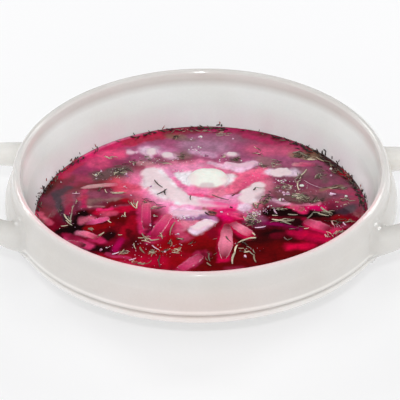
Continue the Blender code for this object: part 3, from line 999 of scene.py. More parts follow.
# What the photograph shows on the soup, the broad grounds first.
WASHES = tuple(Wash(*row) for row in (
    (-68.9, 37.7, -36.7, 57.6, 11.4, MULBERRY, 0.9, 0.9), (-31.9, 57.7, 3.7, 67.3, 10.5, HAZE, 0.9, 0.9),
    (4.1, 58.5, 45.1, 46.3, 14.2, HAZE, 0.9), (40.6, 33.3, 69.2, 21.1, (15.6, 13.3), FIG, 0.9),
    (-72.3, 17.9, -59.3, 1.3, (7.2, 8.4), DAMSON, 0.8, 0.9),
    (-60.2, 14, -29.6, 16.3, (7.5, 8.3), PLUM, 0.8, 0.9), (-8.1, 62.6, 4, 61.1, (6.5, 7.3), MAUVE, 0.9, 0.7),
    (-1.2, 69.8, 15.8, 67.6, 3.2, HEATHER, 0.9, 0.6), (54.6, 46.5, 64.4, 29.5, 4.5, FIG, 0.9, 0.6),
    (-11.2, -24.9, 2.8, -26.3, (15.1, 16.8), CARMINE), (6.3, -32.7, 41.2, -25.4, 14.3, SHERRY),
    (18.7, -17.7, 40.8, -12.2, (6.7, 5.8), LOGANBERRY, 0.8, 0.85),
    (-40.8, -33.8, -15.3, -36.5, (7.6, 6.7), CRIMSON, 0.8, 0.9),
    (-22.9, -22.7, -8.3, -36.3, (6.1, 5.4), CARMINE, 0.8, 0.8),
    # From the second wash here on, the ring along the soup's edge: a painted magenta glow at the back left,
    # fading to dark red and black towards both sides.
    (-54, -9.4, -29.3, -7.2, (8.4, 10.9), OXBLOOD), (-73.8, 19.6, -66.2, 39.5, (2.2, 2.5), SHERRY, 0.7),
    (-68.7, 34.3, -57.4, 51, (2.8, 3.1), RUBY, 0.7, 1),
    (-58.3, 50.1, -37, 64.6, (3.7, 3.3), MAGENTA, 0.65, 1), (-38, 64.6, -19.1, 72.1, (3.5, 3.2), RUBY, 0.7),
    (-19.1, 72.6, -1.4, 75.6, 2, CURRANT, 0.8, 0.9), (-1.4, 76.1, 17.9, 74.7, (1.6, 2), PURPLE, 0.8, 0.8),
    (18, 71.2, 44.8, 60.3, (2.3, 2.7), PURPLE, 0.75), (39, 61.9, 59.3, 51, (1.9, 2.2), SHERRY, 0.7, 0.9),
    (53.5, 54.8, 69, 33.9, 1.8, LOGANBERRY, 0.7, 0.9), (68.6, 35.6, 77.3, 12.8, 1.8, PITCH, 0.7),
    (62.2, 45.8, 68.6, 33.9, 1.1, CRIMSON, 0.8, 0.8), (-77.4, 10.2, -72.6, 23.1, 1.6, GARNET, 0.7),
    (-76.8, 1.8, -65.6, -9.7, (1.9, 2.2), WINE, 0.8, 0.7), (-54.2, 45.9, -48.9, 46, 4.1, PEONY, 0.9, 0.9),
    (-47.9, 52.6, -41.3, 54, 4.1, FLAMINGO, 0.9, 0.9),
    (-65.8, 34.4, -54.2, 31.2, (2.8, 2.4), RASPBERRY, 0.9, 0.6),
    (-64.6, 43.9, -58.2, 48.4, 3, PURPLE, 0.9, 0.5), (-68.2, 27.4, -62.9, 32.7, 2.8, OXBLOOD, 0.9, 0.7),
    (-51.1, 34.7, -37.6, 40.2, 4.4, SLOE, 0.8, 0.8), (-44.3, 40, -38.2, 33.3, 2.2, SLOE, 0.8, 0.6),
    (-28.1, 58.7, -16.3, 53.7, 4.9, ORCHID, 0.9, 0.75), (-14.4, 52.9, -9.6, 53.8, 3.7, TAUPE, 0.9, 0.7),
    (-17.1, 70.4, -12.3, 69.6, 2.4, ASH, 0.9, 0.7), (-30, 49, -16.9, 45, 2.4, HEATHER, 0.9, 0.6),
    (-26.3, 42.1, -2.5, 44.4, (2.5, 2.1), SHELL, 0.9, 0.6), (12.5, 50, 16.4, 48.3, 1.9, SMOKE, 0.9, 0.7),
    (26.9, 50.3, 32.7, 46, 3.5, TAUPE, 0.9, 0.6), (23.2, 58.9, 41, 58.4, 5.3, BLUSH, 0.9, 0.75),
    (41.5, 54.9, 50.6, 54.3, 2.9, ASH, 0.8, 0.75), (43.4, 36.8, 47.1, 40.3, 3.4, SLATE, 0.9, 0.6),
    (52.7, 46.5, 56.7, 33.6, 2.2, SLOE, 0.9, 0.6), (45.6, 23.1, 69.2, 25.4, (1.7, 2.1), BRICK, 0.9, 0.6),
    (51.5, 13.9, 73, 16.9, (2.5, 2.9), MAROON, 0.9, 0.6), (55.9, 26.8, 70.1, 28.8, 1.2, SLATE, 0.9, 0.5),
    (31.4, 24.5, 55.1, 19.9, 4.9, SLATE, 0.9, 0.65), (61.9, 4.9, 70.3, 9.7, (3.4, 3.1), CLOVE),
    (72, 23.7, 75, 13.6, 1.5, BRICK, 0.9, 0.5), (-69.4, 18, -67.8, 8.7, 1.6, CLOVE, 0.7),
    (-67.8, 8.7, -63.3, -2.1, (1.8, 2), CLOVE, 0.7, 0.9),
    (-69, 18.9, -64.2, 24.9, (2.3, 2), CLOVE, 0.8, 0.85), (-63.8, 18.1, -62.7, 2.9, 1.9, MAROON, 0.6, 0.9),
    (-60.2, 20.8, -58.9, 2.2, 0.9, DAMSON, 0.6, 0.8), (-56, 21.7, -55.4, 9, (2.1, 1.9), ROSE, 0.7, 0.9),
    (-74.9, 1.8, -71.1, -5.6, (1.6, 1.9), RHUBARB, 0.7, 0.85),
    (-53.4, 19.2, -29.9, 21.4, 2.5, PLUM, 0.8, 0.6), (-52, 11.6, -35.2, 14.5, (2.9, 2.1), TAUPE, 0.8, 0.8),
    (-46.2, 9.2, -34.2, 13.7, (2, 2.4), OXBLOOD, 0.6), (-36.1, 14.5, -30.4, 12.1, 2.7, CRIMSON, 0.7, 0.8),
    (-53.2, 8.2, -46.2, 9.2, (0.8, 0.6), BISQUE, 0.6, 0.9), (-57.1, 3.1, -46, 5.8, 1.7, OXBLOOD, 0.7, 0.9),
    (-55.2, 2.3, -60.7, -12.9, (3.3, 5), INK, 0.7, 1), (-65.4, -13, -56.3, -9.5, (2.9, 4.1), INK, 0.7, 1),
    (-52.5, -25.1, -41.2, -28.1, (2.9, 3.3), INK), (-45.4, -19.1, -41.5, -14.1, 3, INK),
    (-41.9, 0.1, -35.2, -3.1, (2.7, 3.1), SHERRY, 0.8, 0.9),
    (-30.7, 1.1, -30.4, -22.1, (1.4, 1.9), GARNET, 0.8, 0.9),
    (-36.7, -25.5, -30.4, -22.1, 3.2, GARNET, 0.9, 0.8), (-30, -12.2, -21.8, -26.8, 2.3, OXBLOOD, 0.9, 0.8),
    (-49.2, 3.7, -31.1, 8.3, (1.9, 2.9), CHERRY, 0.6), (-48.4, 6.2, -42.3, 7.2, 1.3, TULIP, 0.7, 0.9),
    (-30.6, -1.4, -35.4, -15.6, (3, 2.7), CRIMSON),
    (-36.6, -18.9, -38.9, -27.2, (2.1, 1.9), PURPLE, 0.9, 0.85),
    (-52.6, -9.4, -41.5, -6.6, 2.1, CARMINE, 0.8, 0.85), (-61.4, -17, -51.6, -24.2, 2.8, PEONY, 0.7),
    (-62.4, -15.4, -57.6, -17.8, (1.9, 2.3), CURRANT, 0.8, 0.8),
    (-27.7, 11.3, -27.6, -12.1, (2.6, 2.1), ROSE, 0.7, 0.9),
    (-14.7, -0.2, -22.2, -18.6, (4.8, 3.6), PEONY, 0.8, 0.9),
    (-22.5, -12, -23.2, -17, (2.5, 2), PURPLE, 0.8, 0.8), (-19.4, -18.6, -11.6, -6.8, 3.8, CHERRY, 0.9, 0.5),
    (11.4, -9.6, 11.8, -32.6, 3.1, RUBY, 0.7), (11.7, -29.3, 9.6, -35.9, (2.2, 1.3), RUBY, 0.8, 0.6),
    (13, -2.9, 22.8, -14.3, 3.2, RUBY, 0.7, 0.9), (11.9, -11.2, 16.9, -21, 2.2, CRIMSON, 0.8, 0.6),
    (12.3, 3.8, 19.4, 1.4, 2.8, TULIP, 0.7, 0.9), (8, 5.4, 11.5, 0.4, (2.7, 3), MAGENTA),
    (1.5, -29.6, -8, -43.6, (3.5, 2.9), RASPBERRY, 0.8, 0.85), (1.8, -26.3, 3.6, -36, 1.5, OXBLOOD, 0.8, 0.7),
    (-24.5, -36.7, -17.7, -34.9, 3.8, CHERRY, 0.7, 0.9), (-41.9, -30.6, -32.5, -33.6, 1.2, PEONY, 0.7, 0.7),
    (-35.1, -36.9, -26.7, -38.3, 1.7, CINNABAR, 0.8, 0.7), (14, -41.5, 19.5, -40.5, 1.7, MAROON, 0.8, 0.6),
    (2.4, -4.8, 6.5, -14.7, (2.1, 2.6), WINE, 0.8, 0.7), (31, 5.9, 59.1, 4.8, 3.8, INK, 0.7, 1),
    (28.5, -4.2, 46.2, -2.1, (4.2, 3.4), INK), (28.6, -9.2, 35.3, -12.4, 3.9, INK, 0.8, 0.9),
    (54.5, 0.6, 62.1, -1.8, 2, GARNET, 0.8, 0.8), (29.4, -2.5, 46.3, -8, (2, 1.6), VIOLET, 0.7, 0.85),
    (42.1, 11.2, 47.4, 7.1, (2.8, 2.5), TULIP, 0.6, 0.9), (50.1, 10.5, 55.8, 9, 2.8, MAGENTA, 0.6),
    (38.3, 12.8, 55.2, 13.2, 1.3, MALLOW, 0.7, 0.8), (50.9, -4.5, 62.2, -10.9, (3.4, 2.7), CERISE, 0.7),
    (55.6, -5.3, 63.1, -9.2, (1.9, 2.3), CERISE, 0.7, 0.8), (43.6, -11.3, 58.6, -16, (3.3, 3.7), RUBY),
    (48.3, -12.9, 56.7, -14.3, 1.5, POPPY, 0.9, 0.7), (34.4, -14, 39, -13.9, 2.1, WINE, 0.9, 0.55),
    (43, -22.9, 51.3, -21.1, (3.8, 2.9), POPPY, 0.9), (63.4, 1.6, 68.6, -0.8, (2.7, 2.4), CARMINE, 0.8, 0.85),
    (62.1, -7.6, 67.2, -5, (2, 1.6), BRICK, 0.8, 0.7), (24.9, -8.4, 31.4, -6.6, 2.1, BURGUNDY, 0.8, 0.9),
    (-40.8, 29.8, -30.3, 28.3, 4.9, CORAL, 0.9, 0.8), (-38.6, 24.7, -28.9, 19.8, 4.5, CORAL, 0.9, 0.8),
    (-27.5, 30, -12.4, 11.7, (11, 9.8), CANDY, 0.9, 0.9), (-10.5, 10, 20.5, 11.5, (6.7, 6.3), NEON, 0.9),
    (22.4, 10.7, 27.5, 29.6, (6.1, 5.6), PETAL, 0.9, 0.85), (-9.8, 35.6, 12.1, 35.2, 10.7, CANDY, 0.6, 1),
    (-26.3, 43, -2.6, 46.1, (2.9, 3.3), MALLOW, 0.9, 0.9),
    (-2.6, 47, 14.7, 43.1, (3.2, 2.8), CANDY, 0.9, 0.9), (-21.4, 41, -3.4, 43.5, 2.9, TEA_ROSE, 0.9),
    (7, 43.7, 15.9, 37, 2.8, MALLOW, 0.9), (14.9, 36.1, 27.1, 41.6, 3.1, ROSY, 0.9, 0.9),
    (14.3, 27.6, 27.2, 37.3, 4.7, LIP, 0.9), (-24.6, 37, -21.8, 29.3, (5.7, 6.9), LILY, 0.45, 1),
    (-21.8, 29.3, -16.6, 20.9, (7.9, 7), LILY, 0.45, 1), (-16.6, 20.9, -8.8, 15.1, (8.1, 5.3), LILY, 0.5, 1),
    (-8.8, 15.1, -1.2, 13.6, (5.7, 4.5), LILY, 0.6, 1), (25.2, 26.9, 23, 20.9, (3.2, 5.3), LILY, 0.5, 1),
    (23, 20.9, 22.2, 17.5, (5, 5.5), LILY, 0.5, 1), (-0.1, 9.4, 17.7, 11.5, (2.5, 2.1), NEON),
    (6.6, 6.2, 15, 8, (2.5, 2.1), FUCHSIA), (-25, 17.3, -16.2, 11.6, 2.9, TEA_ROSE, 0.9, 0.8),
    (9.9, 44.7, 15.7, 42.2, (2.7, 3.1), PINK, 0.6), (15.7, 42.2, 23.1, 47.6, (2.9, 2.6), PINK, 0.6),
    (-12.1, 4.9, 2, 4.4, 3.3, PINK, 0.7), (-7.2, 0, 0.2, 1.8, (2.9, 2.5), THISTLE, 0.8, 0.9),
    (-7.8, -8.4, -3.7, -4.1, (2.8, 3.1), PETAL, 0.8, 0.9), (-3, -10.7, 3.7, -3.1, (2.4, 3), PEARL, 0.5, 1),
    (19.1, 9.8, 21, 9.9, 2.9, PEARL, 0.6), (-6.9, 56.5, 2.9, 53.2, 2.3, THISTLE, 0.9, 0.6),
    (-1.2, 13.6, 16.6, 15.7, (3.7, 3.3), TEA_ROSE, 0.9), (-6, 15.2, 0.6, 14.5, (4.1, 3.7), PEARL, 0.9, 0.9),
    (5.2, 17.6, 17.4, 19.1, 1.7, SHELL, 0.9), (-13.1, 36.4, -7.8, 34.8, (2.4, 5.1), POWDER, 0.7, 1),
    (-13.5, 33.8, -6.6, 29.7, (1.8, 4.4), POWDER, 0.8, 1), (9.8, 32.6, 13.1, 34.4, (5.4, 3.1), LILY, 0.7, 1),
    (-18.5, 39.7, -14.9, 33.8, 1.4, SHELL), (-14.9, 33.8, -10.8, 27, (1.3, 1.4), CANDY),
    (-10.8, 26.6, -4.9, 22.4, (2.1, 2.5), CANDY, 0.8, 1), (-4.9, 22.4, 5.1, 20.1, (2.8, 3.2), CANDY, 0.8, 1),
    (5.1, 20.1, 12.5, 24.1, (3.1, 3.5), PETAL, 0.8, 1), (12.5, 24.1, 16.9, 32.8, (2.3, 2.6), ROSY),
    (-6.2, 20.3, 4.2, 18.8, 1.1, FLAMINGO, 0.9, 0.8), (-29, 57.8, -25.2, 57.9, (3.7, 3.3), PEARL, 0.9, 0.85),
    (-28.8, 54.3, -26.7, 50.8, 1.6, PINK, 0.9, 0.8), (-19.7, 53.6, -15.8, 51.9, 2.7, PINK, 0.9, 0.8),
    (-36.6, 55.9, -34.6, 55.9, (2, 1.6), PINK, 0.9, 0.8), (10.9, 54.3, 13.8, 54.3, 2.5, PINK, 0.9, 0.8),
    (-28, 12.1, -25, -8.7, (2.6, 2.4), PEONY, 0.8, 0.7),
    (-24.1, -0.4, -21.7, -10.3, (1.2, 1.5), BURGUNDY, 0.9, 0.7),
    (-2, -11.5, 1.5, -6.5, (2.9, 3.2), PEARL, 0.7), (-13.7, 8.2, -8.9, 5.8, 1.9, PINK, 0.8, 0.9),
    (-11.5, 1.6, -7.2, 0.8, 1.6, PEARL, 0.8, 0.9), (-5.5, 4.2, -0.3, 3.1, 2, POWDER, 0.8, 0.9),
    (-7.1, -1.3, 5, 0.3, (1.7, 1.5), DUSK, 0.9), (0.7, 1.8, 5, 0.3, 2, DUSK, 0.9),
    (-8.6, 9.2, 1.8, 9, 1.3, SHELL, 0.9, 0.8), (-8.4, -4.2, -3.7, -5.8, 2.4, PETAL, 0.9, 0.9),
    (-11.7, -3.4, -9.2, -8.4, (1.4, 1.7), LIP, 0.9, 0.8),
    (11.6, -2.9, 10.9, -9.6, (1.2, 1.9), RUBY, 0.8, 0.9),
    (-54.8, -3.6, -52.1, -1.9, (3.1, 2.7), SALMON, 0.7, 0.9),
    (-44.9, 2.5, -41.2, 3.4, (2.9, 2.1), RHUBARB, 0.8, 0.85),
    (-49.7, -17.6, -45.3, -20.4, (2.9, 2.2), ROSE, 0.7, 0.9),
    (-55.6, -13.6, -53.6, -14.4, (2, 2.3), MALLOW, 0.8, 0.8),
    (48.9, 0.4, 51.8, -2, (1.8, 1.4), CURRANT, 0.8, 0.6),
    (38.8, -7.3, 44.5, -8.4, (1.7, 1.4), BURGUNDY, 0.8, 0.9),
    (-10.6, -28.2, -5.8, -31.4, (3.3, 3), CRIMSON, 0.8, 0.7), (44.6, 65.1, 50.5, 59.5, 1.3, RUST, 0.8, 0.8),
    (-13.1, 67.8, -7.3, 67.1, 2, SLATE, 0.9, 0.8), (2.1, 47.1, 6.5, 45.9, 1.6, PINK, 0.9, 0.85),
    (-31.3, 46.4, -26.4, 45.6, 2, ASH_ROSE, 0.9, 0.8), (11.2, 10.1, 15.8, 10.6, 1.5, NEON, 0.9, 0.85),
    (-57.9, 14.9, -55.2, 16.6, (2.3, 1.9), BERRY, 0.8, 0.6), (-8.5, 7.5, -2.6, 1.8, 1.7, PINK, 0.9, 0.7),
    (-32.9, -10.6, -33.1, -15.6, 1.2, GARNET, 0.8, 0.8),
    (-25.3, -12.1, -21.8, -7, (1.6, 1.9), BURGUNDY, 0.8, 0.8),
    (-51, -4.3, -45.4, -4.2, 1.7, GARNET, 0.8, 0.8), (-50, 9.1, -45.4, 11.8, (2.3, 1.9), DAMSON, 0.8, 0.7),
    (-36.8, 26.4, -32, 24.8, 3.1, BERRY, 0.9, 0.8), (21, -2.7, 28.5, -5.9, 2.4, FIG, 0.9, 0.7),
    (23.1, -11, 31.4, -9.1, 2.1, GARNET, 0.9, 0.8), (31.4, 40, 41.9, 39.8, (2.9, 3.7), PEARL, 0.7),
    (37.3, 17.8, 56.1, 16.6, (3.3, 2.9), SMOKE, 0.9, 0.7), (64.5, 24.4, 72.1, 20.3, 1.5, RASPBERRY, 0.9, 0.7),
    (56, 25.1, 64.4, 28.7, 1.2, ASH, 0.9, 0.7), (-27.2, 23.2, -26.3, 24.9, 0.9, SALMON, 0.9, 0.5),
    (46.1, 65.6, 51.5, 60, 1.1, RUST, 0.8, 0.8), (-66.8, 48.2, -63, 49.2, (1.2, 1), TEA_ROSE, 0.9, 0.7),
    (-31.4, 14.6, -24.6, 9.7, 2.8, SALMON, 0.9, 0.6), (-11.5, -8.4, -6.5, -16.6, (2.3, 2.6), BLUSH, 0.9, 0.6),
    (3, 3.6, 6, -1.4, 1.7, ORCHID, 0.9, 0.6), (1.4, 7.7, 5.7, 5.3, (1.5, 1.9), RUST, 0.8, 0.8),
    (20.7, 5.7, 27.4, -0.1, (3.5, 3.1), LILAC, 0.9, 0.55),
    (27.8, 19.3, 34.6, 12.7, (4, 3.3), HEATHER, 0.9, 0.6), (31.7, 16, 40.2, 13.7, (1.4, 1.2), PINK, 0.9, 0.5),
))
DOLLOP_WASHES = (
    Wash(-10.9, 30.4, -8.1, 29.6, (4.8, 5.6), PINK_TINT, 0.9, 0.6),
    Wash(11.4, 30.1, 12.3, 29.2, (4.1, 2.7), PINK_TINT, 0.9, 0.6),
    # painted shade in the dollop's front dimple
    Wash(-0.3, 24.7, 3.5, 24.7, 1.9, DIMPLE_SHADE, 0.7, 0.85),
    Wash(-5.2, 19.4, 8, 19.7, 1, SHELL_PINK, 0.9, 0.6),
)
SWEEP_WASHES = (
    Wash(1.6, 13.7, 9.2, 13, 3.7, TEA_ROSE, 0.9, 0.85), Wash(8.7, 13, 16.7, 12.3, 4.1, NEON, 0.9),
)


@dataclass(frozen=True)
class NearSide:
    """The soup's near side, which the front lip hides, finished like the rest. In mm.

    The lip's line falls on the soup as an arc round (0, lip_middle).
    """

    lip_middle: float = 40.0
    lip_radius: float = 85.0
    soup_radius: float = 75.0
    margin: float = 4.0
    count: int = 90
    seed: int = 17
    reach: Pair = (2.0, 7.0)
    flatness: float = 0.6
    half: Pair = (1.3, 2.8)
    taper: Pair = (0.7, 1.2)
    softness: Pair = (0.5, 0.9)
    strength: Pair = (0.7, 0.95)
    tones: tuple[Tone, ...] = (
        CRIMSON, CRIMSON, MULBERRY, GARNET, GARNET, INK,
        ROSE, RUBY, TULIP, RHUBARB, BURGUNDY,
    )

    def place(self, draw: random.Random, margin: float) -> Pair:
        """Draw a place.

        Args:
            draw: the seeded draw.
            margin: how far the place stays away from the lip's line.

        Returns:
            The place, in mm.
        """
        edge = self.soup_radius
        while True:
            x, y = draw.uniform(-edge, edge), draw.uniform(-edge, 0)
            if math.hypot(x, y) < edge and math.hypot(x, y - self.lip_middle) > self.lip_radius + margin:
                return x, y

    def washes(self) -> tuple[Wash, ...]:
        """Draw the washes of the near side."""
        draw = random.Random(self.seed)
        washes = []
        for _ in range(self.count):
            x, y = self.place(draw, self.margin)
            turn, reach, half = draw.uniform(0, math.pi), draw.uniform(*self.reach), draw.uniform(*self.half)
            dx, dy = reach * math.cos(turn), reach * math.sin(turn) * self.flatness
            look = draw.choice(self.tones), draw.uniform(*self.softness), draw.uniform(*self.strength)
            halves = (half, half * draw.uniform(*self.taper))
            washes.append(Wash(x - dx, y - dy, x + dx, y + dy, halves, *look))
        return tuple(washes)


@dataclass(frozen=True)
class SoupPaint:
    """The soup's colours seen through its surface, laid on as washes."""

    washes: tuple[Wash, ...] = WASHES + NearSide().washes()
    ground: Tone = WINE
    reach: float = 0.0758
    # how far the washes' edges waver, in mm, and how much more of that goes along Y
    warp: float = 1.25
    warp_stretch: float = 1.3
    fine_share: float = 0.5
    broad: Grain = Grain(0.0065, 3, 3)
    fine: Grain = Grain(0.0020, 9, 3)
    patches: Grain = Grain(0.0045, 23, 3)
    # steps to parts of the noise that aren't used yet
    warp_step: float = 0.2
    shade_step: float = 0.5
    patch_depth: float = 0.30
    fine_depth: float = 0.22
    darkest: float = 0.2
    # the pink fringe at the back left: a painted pink glow where the soup climbs the wall
    fringe: Tone = CANDY
    fringe_radii: Pair = (0.0768, 0.0777)
    fringe_turn: float = 124.0
    fringe_width: float = 14.0
    fringe_strength: float = 0.8

    def waver(self, x: Array, y: Array) -> Array:
        """Give how the washes' edges waver, from about -1 to 1, at coordinates in metres."""
        return self.broad.at(x, y) + self.fine_share * self.fine.at(x, y)

    def at(self, x: Array, y: Array) -> Array:
        """Mix the washes at points of the surface.

        Args:
            x: along X, in metres.
            y: along Y, in metres.

        Returns:
            A linear colour for each point.
        """
        radius = np.hypot(x, y)
        inward = np.minimum(1.0, self.reach / np.maximum(radius, TINY)) / MM
        u = x * inward + self.warp * self.waver(x, y)
        v = y * inward + self.warp * self.warp_stretch * self.waver(x + self.warp_step, y)
        colour = washed(self.ground.light, self.washes, u, v)
        # painted pink glow at the soup's edge, at the back left
        there = bell(np.degrees(np.arctan2(y, x)), self.fringe_turn, self.fringe_width)
        fringe = smooth(*self.fringe_radii, radius) * there * self.fringe_strength
        colour = blend(colour, self.fringe.light, fringe[:, None])
        fine = self.fine.at(x + self.shade_step, y)
        shade = 1 + self.patch_depth * self.patches.at(x, y) + self.fine_depth * fine
        return colour * np.maximum(shade, self.darkest)[:, None]


# ---- The soup ----
@dataclass
class Soup:
    """The broth: one closed body whose top carries the paint."""

    paint: SoupPaint
    level: float = 0.0153
    radius: float = 0.0782
    spacing: float = 0.00055
    meniscus: float = 0.0007
    meniscus_width: float = 0.0011
    # (radius, height) of the rings under the edge, down to the dish's floor
    under: tuple[Pair, ...] = ((0.0757, 0.0132), (0.0706, 0.0105), (0.0616, 0.0072), (0.0458, 0.0052))

    def build(self) -> None:
        """Make the broth's body."""
        half = int(self.radius / self.spacing) + 2
        axis = np.arange(-half, half + 1) * self.spacing
        gx, gy = np.meshgrid(axis, axis, indexing="ij")
        radius = np.hypot(gx, gy)
        cells = Cells(sum(cell_corners(radius)) / 4 < self.radius - self.spacing * 0.1)
        rim = cells.used & (cells.touching < len(Cells.AROUND))
        outward = np.where(rim | (radius > self.radius), self.radius / np.maximum(radius, TINY), 1.0)
        x, y = (gx * outward)[cells.used], (gy * outward)[cells.used]
        rise = self.meniscus * np.exp(-(self.radius - np.hypot(x, y)) / self.meniscus_width)
        points = np.stack([x, y, self.level + rise], 1)
        form = Form()
        form.add(points, [tuple(quad) for quad in cells.quads()], self.paint.at(x, y))
        self.close(form, points, cells.number[rim])
        form.piece("broth", Finish.BROTH, "beet_broth", "soup")

    def close(self, form: Form, points: Array, rim: Array) -> None:
        """Add the broth's side and bottom under the edge of its top.

        Args:
            form: the form that holds the top.
            points: the top's vertices.
            rim: indices of the vertices on its edge.
        """
        order = rim[np.argsort(np.arctan2(points[rim, 1], points[rim, 0]))]
        count, first = len(order), form.count
        rings = []
        for radius, height in self.under:
            ring = points[order]
            ring[:, :2] *= radius / self.radius
            ring[:, 2] = height
            rings.append(ring)
        form.add(np.concatenate(rings), ring_faces(len(rings), count), self.paint.ground.light)
        for i in range(count):
            j = (i + 1) % count
            form.faces.append((int(order[i]), int(order[j]), first + j, first + i))
        form.faces.append(tuple(range(form.count - count, form.count))[::-1])


# ---- Cream ----
@dataclass
class CreamPatch:
    """Cream afloat: a low heap over joined strokes, fading into the soup at its edge."""

    name: str
    strokes: tuple[Stroke, ...]
    core: Tone
    rim: Tone
    rise: float = 0.0006
    power: float = 0.5
    ragged: float = 0.16
    seed: int = 1
    finish: Finish = Finish.CREAM
    slot: str = "melted_cream"
    fade: float = 0.22
    spacing: float = 0.00036
    depth: float = 0.0011
    bumps: float = 0.10
    washes: tuple[Wash, ...] = ()
    # sizes of the noise on the outline, on the top and in the colour
    ragged_size: float = 0.0028
    bump_size: float = 0.0032
    mottle_size: float = 0.0012
    mottle: float = 0.05
    # shares of the half width where the patch ends, and where its two tones and the soup meet
    end: float = 1.12
    heart: Pair = (0.30, 0.85)
    gone: float = 0.98
    # how steeply, and how far, the skirt round the patch dips under the soup
    skirt_slope: float = 0.002
    skirt_depth: float = 0.0004

    def grid(self) -> list[Array]:
        """Lay a level grid over the whole patch, with some room round it."""
        room = max(max(stroke.halves) for stroke in self.strokes) * 1.5 * MM
        xs = [x * MM for stroke in self.strokes for x in (stroke.x0, stroke.x1)]
        ys = [y * MM for stroke in self.strokes for y in (stroke.y0, stroke.y1)]
        axes = [np.arange(min(ends) - room, max(ends) + room, self.spacing) for ends in (xs, ys)]
        return np.meshgrid(*axes, indexing="ij")

    def share(self, x: Array, y: Array) -> Array:
        """Give the distance from the patch's middle line as a share of its half width, in metres."""
        nearest = np.minimum.reduce([stroke.share(x / MM, y / MM) for stroke in self.strokes])
        return nearest + self.ragged * Grain(self.ragged_size, self.seed, 3).at(x, y)

    def top(self, x: Array, y: Array, share: Array) -> Array:
        """Give the patch's height above the soup's level.

        Args:
            x: along X, in metres.
            y: along Y, in metres.
            share: distances from the middle line.

        Returns:
            The height at each point.
        """
        swell = 1 + self.bumps * Grain(self.bump_size, self.seed + 5, 3).at(x, y)
        heap = self.rise * swell * np.maximum(1 - np.minimum(share, 1) ** 2, 0) ** self.power
        return np.where(share < 1, heap, -np.minimum((share - 1) * self.skirt_slope, self.skirt_depth))

    def tint(self, paint: SoupPaint, x: Array, y: Array, share: Array) -> Array:
        """Colour the patch.

        Args:
            paint: the soup's colours, which take over at the edge.
            x: along X, in metres.
            y: along Y, in metres.
            share: distances from the middle line.

        Returns:
            A linear colour for each point.
        """
        own = blend(self.rim.light, self.core.light, (1 - smooth(*self.heart, share))[:, None])
        own = washed(own, self.washes, x / MM, y / MM)
        own = own * (1 + self.mottle * Grain(self.mottle_size, self.seed + 9, 2).at(x, y))[:, None]
        return blend(paint.at(x, y), own, (1 - smooth(1 - self.fade, self.gone, share))[:, None])

    def build(self, soup: Soup) -> None:
        """Make the patch.

        Args:
            soup: the soup that carries it.
        """
        gx, gy = self.grid()
        share = self.share(gx, gy)
        cells = Cells(np.minimum.reduce(cell_corners(share)) < self.end)
        x, y, share = gx[cells.used], gy[cells.used], share[cells.used]
        tints = self.tint(soup.paint, x, y, share)
        quads, count = cells.quads(), len(x)
        form = Form()
        upper = np.stack([x, y, soup.level + self.top(x, y, share)], 1)
        lower = np.stack([x, y, np.full_like(x, soup.level - self.depth)], 1)
        form.add(upper, [tuple(quad) for quad in quads], tints)
        form.add(lower, [tuple(quad[::-1]) for quad in quads], tints)
        sides: dict[Face, None] = {}
        for quad in quads:
            for a, b in zip(quad, quad[1:] + quad[:1]):
                if (b, a) in sides:
                    del sides[b, a]
                else:
                    sides[a, b] = None
        form.faces.extend((b, a, a + count, b + count) for a, b in sides)
        form.piece(self.name, self.finish, self.slot, self.name)


